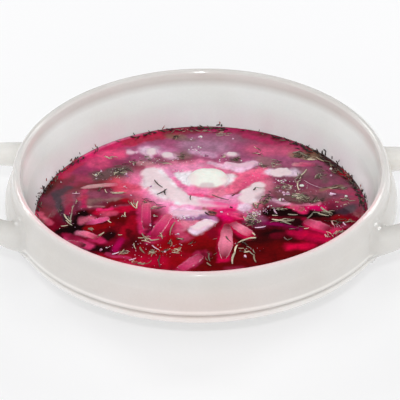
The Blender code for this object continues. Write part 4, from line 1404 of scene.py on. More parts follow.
# ---- Strips ----
@dataclass(frozen=True)
class Strip:
    """A cut strip of vegetable at the surface, in mm and degrees.

    A place along it, t, runs from -0.5 to 0.5.
    """

    name: str
    x: float
    y: float
    length: float
    angle: float
    width: float
    tones: tuple[Tone, Tone, Tone]
    height: float = 3.6
    ends: Pair = (0.55, 0.55)
    seed: int = 0
    rise: float = 0.55
    rings: int = 34
    sides: int = 24
    squareness: float = 3.2
    # the blunt tips: where they start, how long they are and what is left at the very end
    tip_start: float = 0.44
    tip_length: float = 0.06
    tip_share: float = 0.55
    # how the strip bows sideways and droops to its ends, and how uneven it is
    most_bow: float = 0.5
    droop: float = 0.5
    uneven_width: float = 0.10
    uneven_height: float = 0.30
    # the middle tone gives way to the end tones, and the soup covers edges and ends
    tone_reach: float = 0.43
    tone_power: float = 1.2
    streaks: float = 0.30
    edge_shares: Pair = (0.62, 1.02)
    edge_cover: float = 0.75
    end_places: Pair = (0.36, 0.50)
    end_cover: float = 0.7
    dipped: Pair = (-0.0005, 0.0001)

    def section(self) -> tuple[Array, Array]:
        """Give the outline of a cut across the strip, with half sides of 1."""
        return squarish(2 * math.pi * (np.arange(self.sides) + 0.5) / self.sides, self.squareness)

    def ring(self, t: float, level: float) -> tuple[Array, Array]:
        """Place the vertices of one ring.

        Args:
            t: the place along the strip.
            level: the soup's level, in metres.

        Returns:
            The vertices, in metres, and how far each is from the strip's straight middle line, in mm.
        """
        u, v = self.section()
        wave = Grain(0.0030, 60 + self.seed, 2)
        bow = random.Random(self.seed).uniform(-self.most_bow, self.most_bow)
        swell = 1 - (1 - self.ends[int(t >= 0)]) * (abs(t) / 0.5) ** 3
        tip = max(1 - max(abs(t) - self.tip_start, 0) / self.tip_length, 0.0) ** 0.5
        tip = tip * (1 - self.tip_share) + self.tip_share
        uneven = 1 + self.uneven_width * float(wave.at(np.array(t * 0.02), np.array(0.0)))
        sag = self.uneven_height * float(wave.at(np.array(t * 0.03), np.array(0.4)))
        drop = self.droop * (2 * t) ** 2 + sag
        side = self.width / 2 * swell * tip * uneven * u + bow * (1 - (2 * t) ** 2)
        lift = self.rise - drop - self.height / 2 + self.height / 2 * tip * v
        along = np.full(self.sides, t * self.length)
        angle = math.radians(self.angle)
        x = (self.x + along * math.cos(angle) - side * math.sin(angle)) * MM
        y = (self.y + along * math.sin(angle) + side * math.cos(angle)) * MM
        return np.stack([x, y, level + lift * MM], 1), side

    def tint(self, t: float, ring: Array, side: Array, soup: Soup) -> Array:
        """Colour one ring.

        Args:
            t: the place along the strip.
            ring: the ring's vertices.
            side: how far each is from the middle line, in mm.
            soup: the soup that covers the strip's edges.

        Returns:
            A linear colour for each vertex.
        """
        x, y, z = ring.T
        first, middle, last = (tone.light for tone in self.tones)
        away = np.clip(abs(t) / self.tone_reach, 0, 1) ** self.tone_power
        own = blend(middle, first if t < 0 else last, away)
        streak = 1 + self.streaks * Grain(0.0016, 80 + self.seed, 3).at(x * 0.5 + side * 0.002, side * 0.001)
        inner = 1 - smooth(*self.edge_shares, np.abs(self.section()[0])) * self.edge_cover
        inner = inner * (1 - smooth(*self.end_places, abs(t)) * self.end_cover)
        above = smooth(*self.dipped, z - soup.level) * inner
        return blend(soup.paint.at(x, y), own * streak[:, None], above[:, None])

    def build(self, soup: Soup) -> None:
        """Make the strip.

        Args:
            soup: the soup that carries it.
        """
        rings, tints = [], []
        for t in np.linspace(-0.5, 0.5, self.rings):
            ring, side = self.ring(t, soup.level)
            rings.append(ring)
            tints.append(self.tint(t, ring, side, soup))
        form = Form()
        form.add_rings(rings, np.concatenate(tints))
        form.piece(self.name, Finish.STRIP, "stained_strip", self.name)


# ---- Dill ----
PALE = (STRAW, STRAW, SAGE, OLIVE, KHAKI)
DARK = (OLIVE, MOSS, MOSS, SOOT, KHAKI)
WALL_DILL = (MOSS, SOOT, SOOT, RUST)
EDGE_DILL = (MOSS, SOOT, SOOT, SOOT, OLIVE)
MURKY = (SAGE, OLIVE, MOSS, STRAW)


@dataclass(frozen=True)
class Tuft:
    """A loose cluster of dill needles, in mm and degrees."""

    x: float
    y: float
    spread_x: float
    spread_y: float
    count: int
    length: float
    tones: tuple[Tone, ...]
    lean: float = 0.0
    stray: float = 80.0


@dataclass(frozen=True)
class Stretch:
    """Dill along a stretch of the soup's edge, in degrees, and how far it strays, in mm."""

    start: float
    stop: float
    count: int
    stray: float


TUFTS = tuple(Tuft(*row) for row in (
    (-39.5, 39.3, 4.6, 4.6, 34, 3.4, MURKY), (-50.6, 34.7, 2.1, 3, 10, 2.6, MURKY),
    (-33.6, 46.3, 2.1, 2.5, 12, 2.4, MURKY), (-45.8, 50.4, 2.3, 3.4, 6, 3.5, MURKY, -40, 40),
    (-11.5, 52, 1.9, 3, 16, 2.6, DARK), (-15.1, 69.5, 1.6, 2.1, 12, 2.4, DARK),
    (-19.8, 45.8, 3.3, 1.7, 6, 4, MURKY, 0, 20), (-48.4, -16.7, 1.9, 1.7, 4, 3.5, PALE, 40, 30),
    (-51.1, -10.2, 1.4, 2.1, 6, 2.8, PALE), (-25.7, 13, 2.8, 3, 14, 3, DARK, -30, 50),
    (-22.1, 8.1, 3.3, 2.5, 16, 3.4, MURKY, 10, 50), (-24.5, -17.8, 1.9, 3, 10, 4, PALE, -30, 60),
    (-34.6, -28.8, 2.8, 1.7, 9, 3.6, MURKY, 0, 30), (-21.7, -28.5, 1.9, 2.5, 22, 2.6, PALE),
    (-15.7, -27.5, 1.6, 1.7, 8, 3.4, DARK, 30, 40), (-10.6, -26.6, 1.9, 2.5, 10, 3.2, PALE, 20, 60),
    (-9.2, -17.5, 1.9, 1.7, 10, 3, MURKY, 0, 60), (-3.5, -20.7, 1.2, 1.3, 6, 2.4, DARK, 0, 60),
    (-32.6, 10.4, 2.3, 2.1, 6, 4, PALE, -60, 30), (-39.3, 20.4, 3.3, 1.3, 6, 4, PALE, 0, 15),
    (-46.7, 24.5, 3.7, 2.5, 6, 3, MURKY, -60, 30), (-27.7, -37.6, 4.2, 1.7, 10, 3.4, PALE, 20, 30),
    (-18.7, -14.4, 3.7, 3.4, 6, 3.4, PALE), (-13.7, -20.9, 0.9, 3.4, 14, 2.6, DARK, 80, 30),
    (44.9, 55, 3.7, 3, 44, 3.2, DARK, 0, 60), (49.7, 51.6, 3.7, 1.7, 16, 3.6, PALE, -15, 30),
    (33.6, 47.8, 2.3, 3.4, 14, 3, MURKY), (24.7, 57.2, 2.8, 5.9, 10, 3.2, MURKY, 0, 60),
    (44.4, 35.9, 1.9, 4.2, 18, 3, MURKY, 70, 40), (54.8, 37.9, 2.1, 5.9, 20, 3, MURKY),
    (38, 27.2, 4.2, 2.5, 26, 2.8, MURKY, 0, 60), (45.7, 18.9, 5.6, 3, 56, 3.2, MURKY, 0, 40),
    (48.1, 15.5, 4.2, 1.7, 18, 3, DARK, 0, 30), (53.3, 16.5, 1.9, 2.5, 14, 3, MURKY, 60, 40),
    (30.7, 17.7, 2.1, 3.8, 30, 2.6, DARK), (28, 13.4, 2.3, 2.5, 16, 3, DARK, 70, 30),
    (64.4, 27, 5.6, 1.7, 12, 6, MURKY, 5, 14), (23.7, 0.7, 3.7, 5.5, 60, 2.6, MURKY),
    (22.9, -4.3, 3.3, 3.4, 24, 2.6, DARK), (39.2, -1.5, 4.2, 2.1, 18, 4.2, PALE, 0, 25),
    (58.2, 5.7, 2.6, 2.1, 18, 3.6, MURKY, -20, 40), (64.9, -1.7, 3.7, 3, 22, 3, DARK, 0, 60),
    (65, -10, 3.3, 2.5, 9, 3, PALE, 30, 60), (69.5, -0.8, 2.3, 2.1, 8, 3, PALE, 20, 30),
    (56.1, 15.7, 1.2, 1.7, 5, 2.4, DARK, 60, 60), (61.8, 40.6, 3.3, 4.2, 16, 3, DARK, -40, 50),
    (66.9, 16.8, 4.6, 6.8, 12, 3, MURKY, -20, 50), (38, 8.6, 4.6, 1.7, 12, 4, MURKY, 0, 15),
    (46.3, -7.1, 5.6, 2.5, 5, 3, PALE, 0, 30), (59.5, -13.5, 2.3, 1.7, 5, 3, PALE, -40, 30),
    (22.2, -25.8, 2.8, 3.4, 5, 3.6, MURKY, -20, 60), (7, -27.8, 3.3, 5.9, 5, 2.4, DARK, 60, 60),
    (-3.9, 77.8, 13.9, 1.3, 30, 2.4, DARK, 0, 40), (-5.7, 75.1, 11.6, 1.7, 18, 3, MURKY, 0, 30),
    (6.9, 72.7, 6, 1.7, 14, 4, MURKY, 0, 20), (14.4, 50.9, 3.3, 2.1, 22, 2.6, DARK, 0, 70),
    (8.6, 52.5, 2.3, 1.7, 8, 2.4, MURKY, 0, 60), (4.8, 4.5, 2.1, 1.7, 10, 2.6, DARK, 0, 40),
    (-1.3, 4.3, 4.2, 1.7, 6, 2.4, DARK, 0, 20), (27, 45.1, 2.8, 2.5, 10, 2.6, MURKY, 0, 60),
    (-26.7, 50.8, 5.1, 4.2, 14, 3, MURKY, -10, 60), (-66.6, 3.7, 2.3, 5.9, 8, 3, MURKY, 60, 50),
    (-60.2, 14, 1.9, 8.4, 6, 3, PALE, 80, 20),
))
# Needles that show singly: from x, y to x, y, then their thickness, in mm, and their colour.
SINGLE_NEEDLES = (
    (-64.5, 1.2, -60.8, -5.4, 0.8, STRAW), (-60.8, 2.1, -60.7, -6.2, 0.8, SAGE),
    (-63.2, -3.8, -60.1, -7.9, 0.8, STRAW), (-65.2, -8.8, -62, -7.9, 0.7, STRAW),
    (-62.5, -0.4, -60.4, -4.5, 0.6, SAGE), (-60.3, 8.9, -60.8, 2.1, 0.4, STRAW),
    (-47, -15.9, -44.8, -13.3, 0.8, STRAW), (-43.6, -3.3, -42, -5.4, 0.8, STRAW),
    (-37.3, 1, -35.3, -0.2, 0.7, STRAW), (-36, 3.5, -35.6, 0.2, 0.6, STRAW),
    (-38.2, -15.3, -36.3, -15.2, 0.6, STRAW), (-33.7, 12, -31, 7, 0.9, STRAW),
    (-30.4, 12.9, -30.6, 7, 0.8, STRAW), (-27.1, -13.8, -24, -19.5, 0.9, KHAKI),
    (-28.8, -17.5, -26, -17.5, 0.6, STRAW), (-23.1, -19.5, -18.9, -18.5, 0.8, STRAW),
    (-22.7, 1.3, -20.4, 0.5, 0.7, SAGE), (-21.9, -23.5, -18.5, -27.2, 0.8, PINK),
    (-30.4, -22.1, -29.2, -27, 0.6, STRAW), (-40, -31.3, -36.9, -29.6, 0.8, PINK),
    (-36.8, -31.3, -34.7, -27.1, 0.8, KHAKI), (-35.1, -27.9, -31.8, -29.1, 0.6, TAUPE),
    (-27.4, -25.3, -25.3, -29.8, 1.1, KHAKI), (-12.4, -29.1, -10.1, -29.4, 0.8, STRAW),
    (-10.1, -29, -8.4, -24.9, 0.8, KHAKI), (-12.2, -4.3, -14, -15.1, 0.8, KHAKI),
    (-17.8, -31.6, -17.3, -41.4, 0.7, MOSS), (-18.6, -34.9, -17.4, -38.9, 0.5, OLIVE),
    (-31.9, -36, -28.8, -34.3, 0.8, PINK), (-28.1, -38.4, -24.4, -38.3, 0.6, KHAKI),
    (-61.9, 19, -58.2, 19.1, 0.4, PINK), (-43, 19.4, -37.4, 20.4, 0.8, STRAW),
    (-46.6, 22.8, -45.4, 19.8, 0.5, STRAW), (25.5, -14.2, 24.1, -12.2, 0.9, STRAW),
    (26.1, -16.3, 21.9, -17.2, 1.2, STRAW), (22.4, -17.2, 17.9, -20.6, 1.1, STRAW),
    (17.5, -22.6, 16.8, -29.2, 1.1, STRAW), (16.7, -28.4, 15.9, -37.8, 1.3, STRAW),
    (17.8, -20.2, 17.3, -24.3, 0.6, MOSS), (18.2, -25.1, 20.8, -25, 0.8, KHAKI),
    (22.1, -22.5, 20.1, -19.7, 0.8, MOSS), (20.9, -28.3, 23.6, -27.4, 1, STRAW),
    (23.4, -27.4, 25.6, -30.6, 0.7, SAGE), (25.6, -30.2, 26.7, -36.3, 1, KHAKI),
    (25, -25.8, 26, -29, 0.5, SAGE), (4.8, -29.5, 5.5, -36, 0.8, OLIVE), (4.1, -37.2, 6.1, -39.6, 0.9, KHAKI),
    (6.2, -18, 8, -17.1, 0.7, RUST), (12.1, -15.4, 14.6, -20.2, 0.9, MOSS),
    (33.1, -0.8, 38.2, -1.5, 0.9, STRAW), (37.8, -1.9, 42, -4.7, 0.9, SAGE), (33, 2.6, 35.8, 2.6, 0.6, STRAW),
    (33.8, 7.6, 35.3, 3.9, 1, PINK), (40.4, 3.6, 45.1, 3.3, 0.9, SAGE), (49.6, 0.4, 52.1, 5.1, 0.9, SAGE),
    (52.1, 5.5, 55.4, 5.6, 0.8, SAGE), (54.5, 4.7, 59.6, 2.8, 0.9, STRAW), (55.8, 9.8, 60.1, 4.9, 1.2, SAGE),
    (56.3, 8.1, 59.6, 5.7, 0.9, KHAKI), (25.3, -8, 30.4, -6.7, 0.8, PINK),
    (45.8, 36.8, 48.3, 42.1, 0.9, STRAW), (44.5, 30.8, 45.1, 24, 0.7, STRAW),
    (47.3, 32.6, 55.9, 25.9, 0.3, SHELL_PINK), (23.8, 12.5, 25.3, 8.3, 1, OLIVE),
    (26.6, 12.5, 26, 8.3, 1.1, OLIVE), (24.7, 13.3, 26.2, 10.8, 0.9, STRAW),
    (21.4, -30.7, 22, -32.4, 1.4, PINK), (66.3, -2.5, 67.7, -5, 0.8, PINK),
    (61.1, -1.8, 62.1, -5.1, 0.9, BISQUE), (67.7, -2.5, 70.4, -0.8, 0.7, SAGE),
    (58, -12.7, 59.5, -15.1, 0.8, BISQUE), (61.8, -12.6, 63.1, -10.1, 0.8, BISQUE),
    (41, -17.6, 42.8, -16.3, 0.7, OLIVE), (39.1, -15.6, 41, -18, 0.8, TAUPE),
    (59.8, 21.9, 62.6, 21, 1.2, PINK), (1.5, 4.4, 3.5, 2.3, 1.2, SOOT), (3.5, 2.8, 6.3, 2.4, 1.6, RUST),
    (41.5, 56.3, 44.8, 58.1, 0.8, SAGE), (44.8, 56.8, 48.7, 53.4, 0.8, SAGE),
    (48.8, 50.7, 52.1, 50.4, 0.8, STRAW), (52.6, 52.6, 56.5, 49.2, 0.9, KHAKI),
    (56.4, 50, 59.8, 48.4, 0.9, OLIVE),
)
NEEDLES_ON_CREAM = (
    (-23.5, 30.1, -19.4, 23.8, 0.8, MOSS), (-21.7, 17.8, -17.2, 22.6, 0.8, SOOT),
    (-18.1, 22.1, -17.7, 17.5, 0.9, SOOT), (23.7, 22.6, 24.6, 24.8, 1, MOSS),
    (24.6, 24.8, 29, 24.5, 0.5, SAGE), (-5.6, 17.7, -5.7, 13.5, 0.8, MOSS), (4.3, 18, 12.4, 13.9, 0.7, OLIVE),
    (-25.3, 24.1, -24.4, 25, 1, DUSK), (13.7, 17.3, 15.1, 19, 0.9, GARNET), (13.1, 8, 14.5, 7.2, 1, GARNET),
)
EDGE_STRETCHES = tuple(Stretch(*row) for row in (
    (-20, 8, 12, 1.2), (8, 45, 84, 1.5), (45, 62, 34, 1.4), (62, 84, 12, 1.0), (84, 104, 34, 1.0),
    (104, 118, 22, 1.0), (122, 138, 3, 0.6), (138, 146, 14, 0.6), (147, 165, 26, 0.5), (165, 186, 18, 0.6),
    (200, 340, 110, 1.0),
))
WALL_STRETCHES = tuple(Stretch(*row) for row in (
    (8, 30, 18, 2.0), (30, 46, 12, 1.8), (46, 60, 4, 1.0), (71, 73, 2, 1.2), (83, 86, 3, 1.6),
    (106, 120, 5, 0.8), (130, 134, 4, 1.6), (139, 145, 12, 1.8), (149, 157, 7, 1.0), (160, 176, 20, 2.6),
))


@dataclass
class Needles:
    """Gathers dill needles as bent, tapering tubes."""

    seed: int
    form: Form = field(default_factory=Form)
    rings: int = 5
    sides: int = 5
    flatness: float = 0.7
    tip_share: float = 0.55
    shades: Pair = (0.7, 1.35)
    # how a tuft's needles gather round its middle, and where the soup ends
    gathering: float = 0.45
    soup_radius: float = 0.0775
    tilts: Pair = (-0.10, 0.14)
    length_shares: Pair = (0.35, 1.15)
    thicknesses: Pair = (0.00020, 0.00044)
    bend: float = 0.2
    lift: float = 0.0001
    deepest: float = 0.0002

    def __post_init__(self) -> None:
        """Start the seeded draw."""
        self.draw = random.Random(self.seed)

    def add(self, start: Vector, along: Vector, length: float, thick: float, bend: float, tone: Tone) -> None:
        """Lay one needle.

        Args:
            start: its first end.
            along: its direction.
            length: its length.
            thick: its greatest thickness.
            bend: how far its middle strays sideways.
            tone: its colour.
        """
        along = along.normalized()
        across = along.cross(Vector((0, 0, 1)))
        across = across.normalized() if across.length > TINY else Vector((1, 0, 0))
        upward = across.cross(along).normalized()
        rings = []
        for i in range(self.rings):
            t = i / (self.rings - 1)
            middle = start + along * (length * t) + across * (bend * math.sin(math.pi * t))
            swell = math.sin(math.pi * min(t * 0.8 + 0.2, 1.0))
            half = thick / 2 * (self.tip_share + (1 - self.tip_share) * swell)
            ring = []
            for turn in (2 * math.pi * k / self.sides for k in range(self.sides)):
                rise = upward * (half * self.flatness * math.sin(turn))
                ring.append(tuple(middle + across * (half * math.cos(turn)) + rise))
            rings.append(np.array(ring))
        self.form.add_rings(rings, tone.light * self.draw.uniform(*self.shades))

    def tuft(self, tuft: Tuft, level: float) -> None:
        """Scatter a tuft on a level surface.

        Args:
            tuft: what to scatter.
            level: height of the surface.
        """
        draw = self.draw
        for _ in range(tuft.count):
            x = (tuft.x + draw.gauss(0, self.gathering) * tuft.spread_x) * MM
            y = (tuft.y + draw.gauss(0, self.gathering) * tuft.spread_y) * MM
            if math.hypot(x, y) > self.soup_radius:
                continue
            angle = math.radians(tuft.lean + draw.uniform(-tuft.stray, tuft.stray))
            tilt = draw.uniform(*self.tilts)
            length = tuft.length * draw.uniform(*self.length_shares) * MM
            along = Vector((math.cos(angle), math.sin(angle), tilt))
            start = Vector((x, y, level + self.lift)) - along * (length / 2)
            start.z = max(start.z, level - self.deepest) + self.lift
            thick, bend = draw.uniform(*self.thicknesses), draw.uniform(-self.bend, self.bend) * length
            self.add(start, along, length, thick, bend, draw.choice(tuft.tones))


@dataclass
class Dill:
    """Chopped dill: on the soup, along its edge, on the wall and on the cream."""

    level: float
    seed_afloat: int = 5
    seed_on_wall: int = 8
    # single needles: heights above the level, share of the thickness that shows, and bend
    soup_lift: float = 0.00045
    cream_lift: float = 0.00125
    visible_share: float = 0.85
    single_bend: float = 0.06
    # tufts on the near side
    near_tufts: int = 30
    near_margin: float = 3.0
    near_spread: Pair = (1.5, 4.0)
    near_count: tuple[int, int] = (3, 14)
    near_flatness: float = 0.8
    near_lean: float = 60.0
    near_stray: float = 50.0
    near_length: float = 3.2
    # needles along the edge
    edge_radius: float = 0.0779
    edge_lift: float = 0.0003
    edge_swing: float = 0.8
    edge_tilt: Pair = (-0.1, 0.35)
    edge_length: Pair = (0.0012, 0.0036)
    thick: Pair = (0.0004, 0.0009)
    edge_bend: float = 0.0005
    # needles on the wall, which leans outward
    wall_radius: float = 0.0780
    wall_lean: float = 0.21
    wall_gathering: float = 0.6
    wall_swing: Pair = (-0.7, 2.0)
    wall_length: Pair = (0.0008, 0.0024)
    wall_bend: float = 0.0002

    def single(self, needles: Needles) -> None:
        """Lay the needles that show singly, on the soup and on the cream."""
        for rows, lift in ((SINGLE_NEEDLES, self.soup_lift), (NEEDLES_ON_CREAM, self.cream_lift)):
            for x0, y0, x1, y1, thick, tone in rows:
                start = Vector((x0 * MM, y0 * MM, self.level + lift))
                along = Vector((x1 - x0, y1 - y0, 0)) * MM
                bend = self.single_bend * along.length
                needles.add(start, along, along.length, thick * self.visible_share * MM, bend, tone)

    def near(self, needles: Needles) -> None:
        """Scatter tufts on the near side."""
        draw, side = needles.draw, NearSide()
        for _ in range(self.near_tufts):
            x, y = side.place(draw, self.near_margin)
            spread, count = draw.uniform(*self.near_spread), draw.randint(*self.near_count)
            tones = draw.choice((PALE, DARK, MURKY))
            look = self.near_length, tones, draw.uniform(-self.near_lean, self.near_lean), self.near_stray
            needles.tuft(Tuft(x, y, spread, spread * self.near_flatness, count, *look), self.level)

    def edge(self, needles: Needles) -> None:
        """Line the soup's edge, thickest at the back and right."""
        draw = needles.draw
        for stretch in EDGE_STRETCHES:
            for _ in range(stretch.count):
                turn = math.radians(draw.uniform(stretch.start, stretch.stop))
                radius = self.edge_radius - abs(draw.gauss(0, 1)) * stretch.stray * MM
                lean = turn + math.pi / 2 + draw.uniform(-self.edge_swing, self.edge_swing)
                along = Vector((math.cos(lean), math.sin(lean), draw.uniform(*self.edge_tilt)))
                x, y = radius * math.cos(turn), radius * math.sin(turn)
                start = Vector((x, y, self.level + self.edge_lift))
                length, thick = draw.uniform(*self.edge_length), draw.uniform(*self.thick)
                bend = draw.uniform(-self.edge_bend, self.edge_bend)
                needles.add(start, along, length, thick, bend, draw.choice(EDGE_DILL))

    def wall(self, needles: Needles) -> None:
        """Stick a few needles to the wall above the soup."""
        draw = needles.draw
        for stretch in WALL_STRETCHES:
            for _ in range(stretch.count):
                turn = math.radians(draw.uniform(stretch.start, stretch.stop))
                c, s = math.cos(turn), math.sin(turn)
                rise = abs(draw.gauss(0, self.wall_gathering)) * stretch.stray * MM
                radius = self.wall_radius + rise * self.wall_lean
                swing = draw.uniform(*self.wall_swing)
                up = Vector((c * self.wall_lean, s * self.wall_lean, 1))
                along = Vector((-s, c, 0)) * math.sin(swing) + up * math.cos(swing)
                start = Vector((radius * c, radius * s, self.level + rise))
                length, thick = draw.uniform(*self.wall_length), draw.uniform(*self.thick)
                bend = draw.uniform(-self.wall_bend, self.wall_bend)
                needles.add(start, along, length, thick, bend, draw.choice(WALL_DILL))

    def build(self) -> None:
        """Make the dill's pieces."""
        afloat, stuck = Needles(self.seed_afloat), Needles(self.seed_on_wall)
        for tuft in TUFTS:
            afloat.tuft(tuft, self.level)
        self.single(afloat)
        self.near(afloat)
        self.edge(afloat)
        self.wall(stuck)
        afloat.form.piece("dill_afloat", Finish.DILL, "beet_broth", "soup")
        stuck.form.piece("dill_on_wall", Finish.DILL, "beet_broth", "soup")


# ---- Froth ----
# Specks lie in drifts: x, y, spread along x and y, how many, and the greatest radius, in mm.
DRIFTS = (
    (-3.6, 69.8, 0.7, 0.6, 6, 0.9), (-7.8, 67.9, 0.5, 1.7, 4, 0.6), (-7, 60, 0.5, 1.3, 4, 0.8),
    (-0.5, 54, 1.6, 1.3, 10, 0.8), (7.7, 51.6, 4.6, 2.1, 10, 0.4), (-49.4, 39, 0.9, 0.8, 4, 0.6),
    (-51.1, 34.7, 0.7, 1.7, 4, 0.7), (-46.7, 32.2, 1.9, 0.8, 5, 0.5), (-36.9, 35.9, 0.9, 1.3, 6, 0.7),
    (-34, 44.6, 0.2, 0.4, 2, 0.6), (-67.8, 29.2, 0.2, 0.4, 2, 0.55), (-37.2, 25.5, 0.7, 1.3, 5, 0.6),
    (-34, 18.8, 0.3, 0.4, 2, 0.6), (-22.3, 1.3, 0.5, 2.1, 4, 0.7), (-23.8, -6.2, 0.5, 1.3, 3, 0.7),
    (-21.8, -8.7, 0.5, 1.7, 3, 0.5), (-45.4, -27.4, 0.5, 0.4, 3, 0.9), (-42.2, -25.6, 0.7, 0.4, 3, 0.6),
    (-15.7, -28.3, 0.3, 0.4, 2, 0.7), (-11.7, -23.3, 0.2, 0.4, 2, 0.7), (-8.5, -22.4, 0.9, 0.8, 5, 0.5),
    (12.3, 68.8, 0.3, 0.4, 2, 0.7), (12.6, 62.2, 0.2, 0.4, 1, 0.5), (6.8, 49, 0.5, 0.4, 3, 0.6),
    (16.9, 49.2, 0.5, 0.4, 3, 0.6), (27, 45.9, 0.5, 0.8, 3, 0.5), (41.3, 26.4, 0.5, 0.4, 3, 0.6),
    (46.4, 28.3, 0.5, 0.4, 3, 0.9), (36.2, 23.8, 0.9, 0.4, 4, 0.6), (59.9, 43.2, 0.3, 0.4, 2, 0.8),
    (60, 38, 0.2, 0.4, 2, 0.7), (67.3, 20.2, 0.2, 0.4, 2, 0.8), (60.3, 21.3, 1.6, 0.6, 12, 0.7),
    (39.5, 21.3, 1.9, 1.3, 16, 0.9), (43.8, 19.7, 0.7, 0.8, 4, 0.6), (36.8, 16.1, 2.3, 0.8, 16, 0.8),
    (31.8, 10.1, 2.8, 1.7, 14, 0.6), (23.6, 2.4, 3.3, 4.2, 70, 0.5), (28.2, 5.8, 3.3, 3.4, 40, 0.45),
    (-10.3, -13.4, 0.7, 0.8, 6, 0.7), (-8.1, 0, 5.1, 2.5, 50, 0.45), (-2.2, -6.6, 3.3, 3.4, 30, 0.5),
    (9, 5.4, 0.3, 0.4, 3, 0.7), (-26.6, 49.1, 9.3, 5.9, 40, 0.3), (-40.4, 38.4, 7, 5.9, 40, 0.3),
    (-14.7, 49.4, 9.3, 4.2, 30, 0.3), (31, 37.4, 9.3, 8.4, 40, 0.3), (45.6, 24.8, 11.6, 8.4, 60, 0.35),
    (-22.7, -26.8, 13.9, 10.1, 60, 0.3), (-52.3, 1.5, 18.6, 12.7, 40, 0.25), (55.3, 12.3, 11.6, 8.4, 40, 0.3),
    (19, -25.9, 13.9, 8.4, 20, 0.3), (-5, 58.3, 3.3, 3.4, 20, 0.5), (-69.9, 52.5, 7, 6.8, 6, 0.3),
    (35.9, 32.3, 4.6, 1.7, 20, 0.5), (64.9, -5, 3.7, 2.5, 16, 0.4), (-11.4, 40.7, 7, 1.3, 14, 0.4),
)


@dataclass
class Froth:
    """Fine white specks and bubbles on the soup."""

    level: float
    seed: int = 31
    around: int = 8
    # (radius, height) of a speck's rings and the height of its top, as shares of its size
    rings: tuple[Pair, ...] = ((0.6, 0.55), (1.0, 0.05), (0.8, -0.5))
    top: float = 0.75
    gathering: float = 0.5
    soup_radius: float = 0.0768
    smallest: float = 0.35
    smallness: float = 1.5
    unevenness: float = 0.5
    shades: Pair = (0.7, 1.0)
    tones: tuple[Tone, ...] = (WHITE, PINK, PINK, LILAC)
    # drifts on the near side
    near_drifts: int = 16
    near_margin: float = 2.0
    near_spread: Pair = (4.0, 3.0)
    near_count: tuple[int, int] = (3, 9)
    near_greatest: Pair = (0.3, 0.7)

    def speck(self, x: float, y: float, size: float, draw: random.Random) -> Array:
        """Give a speck's vertices, its top first.

        Args:
            x: first coordinate of its middle.
            y: second coordinate of its middle.
            size: its radius.
            draw: the seeded draw.

        Returns:
            The vertices, one a row.
        """
        points = [(x, y, self.level + size * self.top)]
        for share, height in self.rings:
            for k in range(self.around):
                turn = 2 * math.pi * (k + self.unevenness * draw.random()) / self.around
                dx, dy = size * share * math.cos(turn), size * share * math.sin(turn)
                points.append((x + dx, y + dy, self.level + size * height))
        return np.array(points)

    def build(self) -> None:
        """Make all specks as one piece."""
        draw, side, around = random.Random(self.seed), NearSide(), self.around
        cap = [(0, 1 + k, 1 + (k + 1) % around) for k in range(around)]
        faces = cap + ring_faces(len(self.rings), around, 1)
        faces.append(tuple(range(1 + 2 * around, 1 + 3 * around))[::-1])
        near = []
        for _ in range(self.near_drifts):
            place, count = side.place(draw, self.near_margin), draw.randint(*self.near_count)
            near.append((*place, *self.near_spread, count, draw.uniform(*self.near_greatest)))
        form = Form()
        for x, y, spread_x, spread_y, count, greatest in (*DRIFTS, *near):
            for _ in range(count):
                px = (x + draw.gauss(0, self.gathering) * spread_x) * MM
                py = (y + draw.gauss(0, self.gathering) * spread_y) * MM
                if math.hypot(px, py) > self.soup_radius:
                    continue
                size = greatest * MM * draw.uniform(self.smallest, 1.0) ** self.smallness
                points = self.speck(px, py, size, draw)
                tone = draw.choice(self.tones)
                form.add(points, faces, tone.light * draw.uniform(*self.shades))
        form.piece("froth_specks", Finish.FROTH, "melted_cream", "soup")


# ---- Studio ----
@dataclass(frozen=True)
class SoftLight:
    """A square soft light that faces a point: its place, its side and its power in watts."""

    name: str
    place: Corner
    size: float
    power: float
    aim: Corner = (0.0, 0.0, 0.02)

    def hang(self) -> None:
        """Hang the light."""
        data = bpy.data.lights.new(self.name, "AREA")
        data.size = self.size
        data.energy = self.power
        made = linked(self.name, data)
        made.location = self.place
        made.rotation_euler = (Vector(self.place) - Vector(self.aim)).to_track_quat("Z", "Y").to_euler()


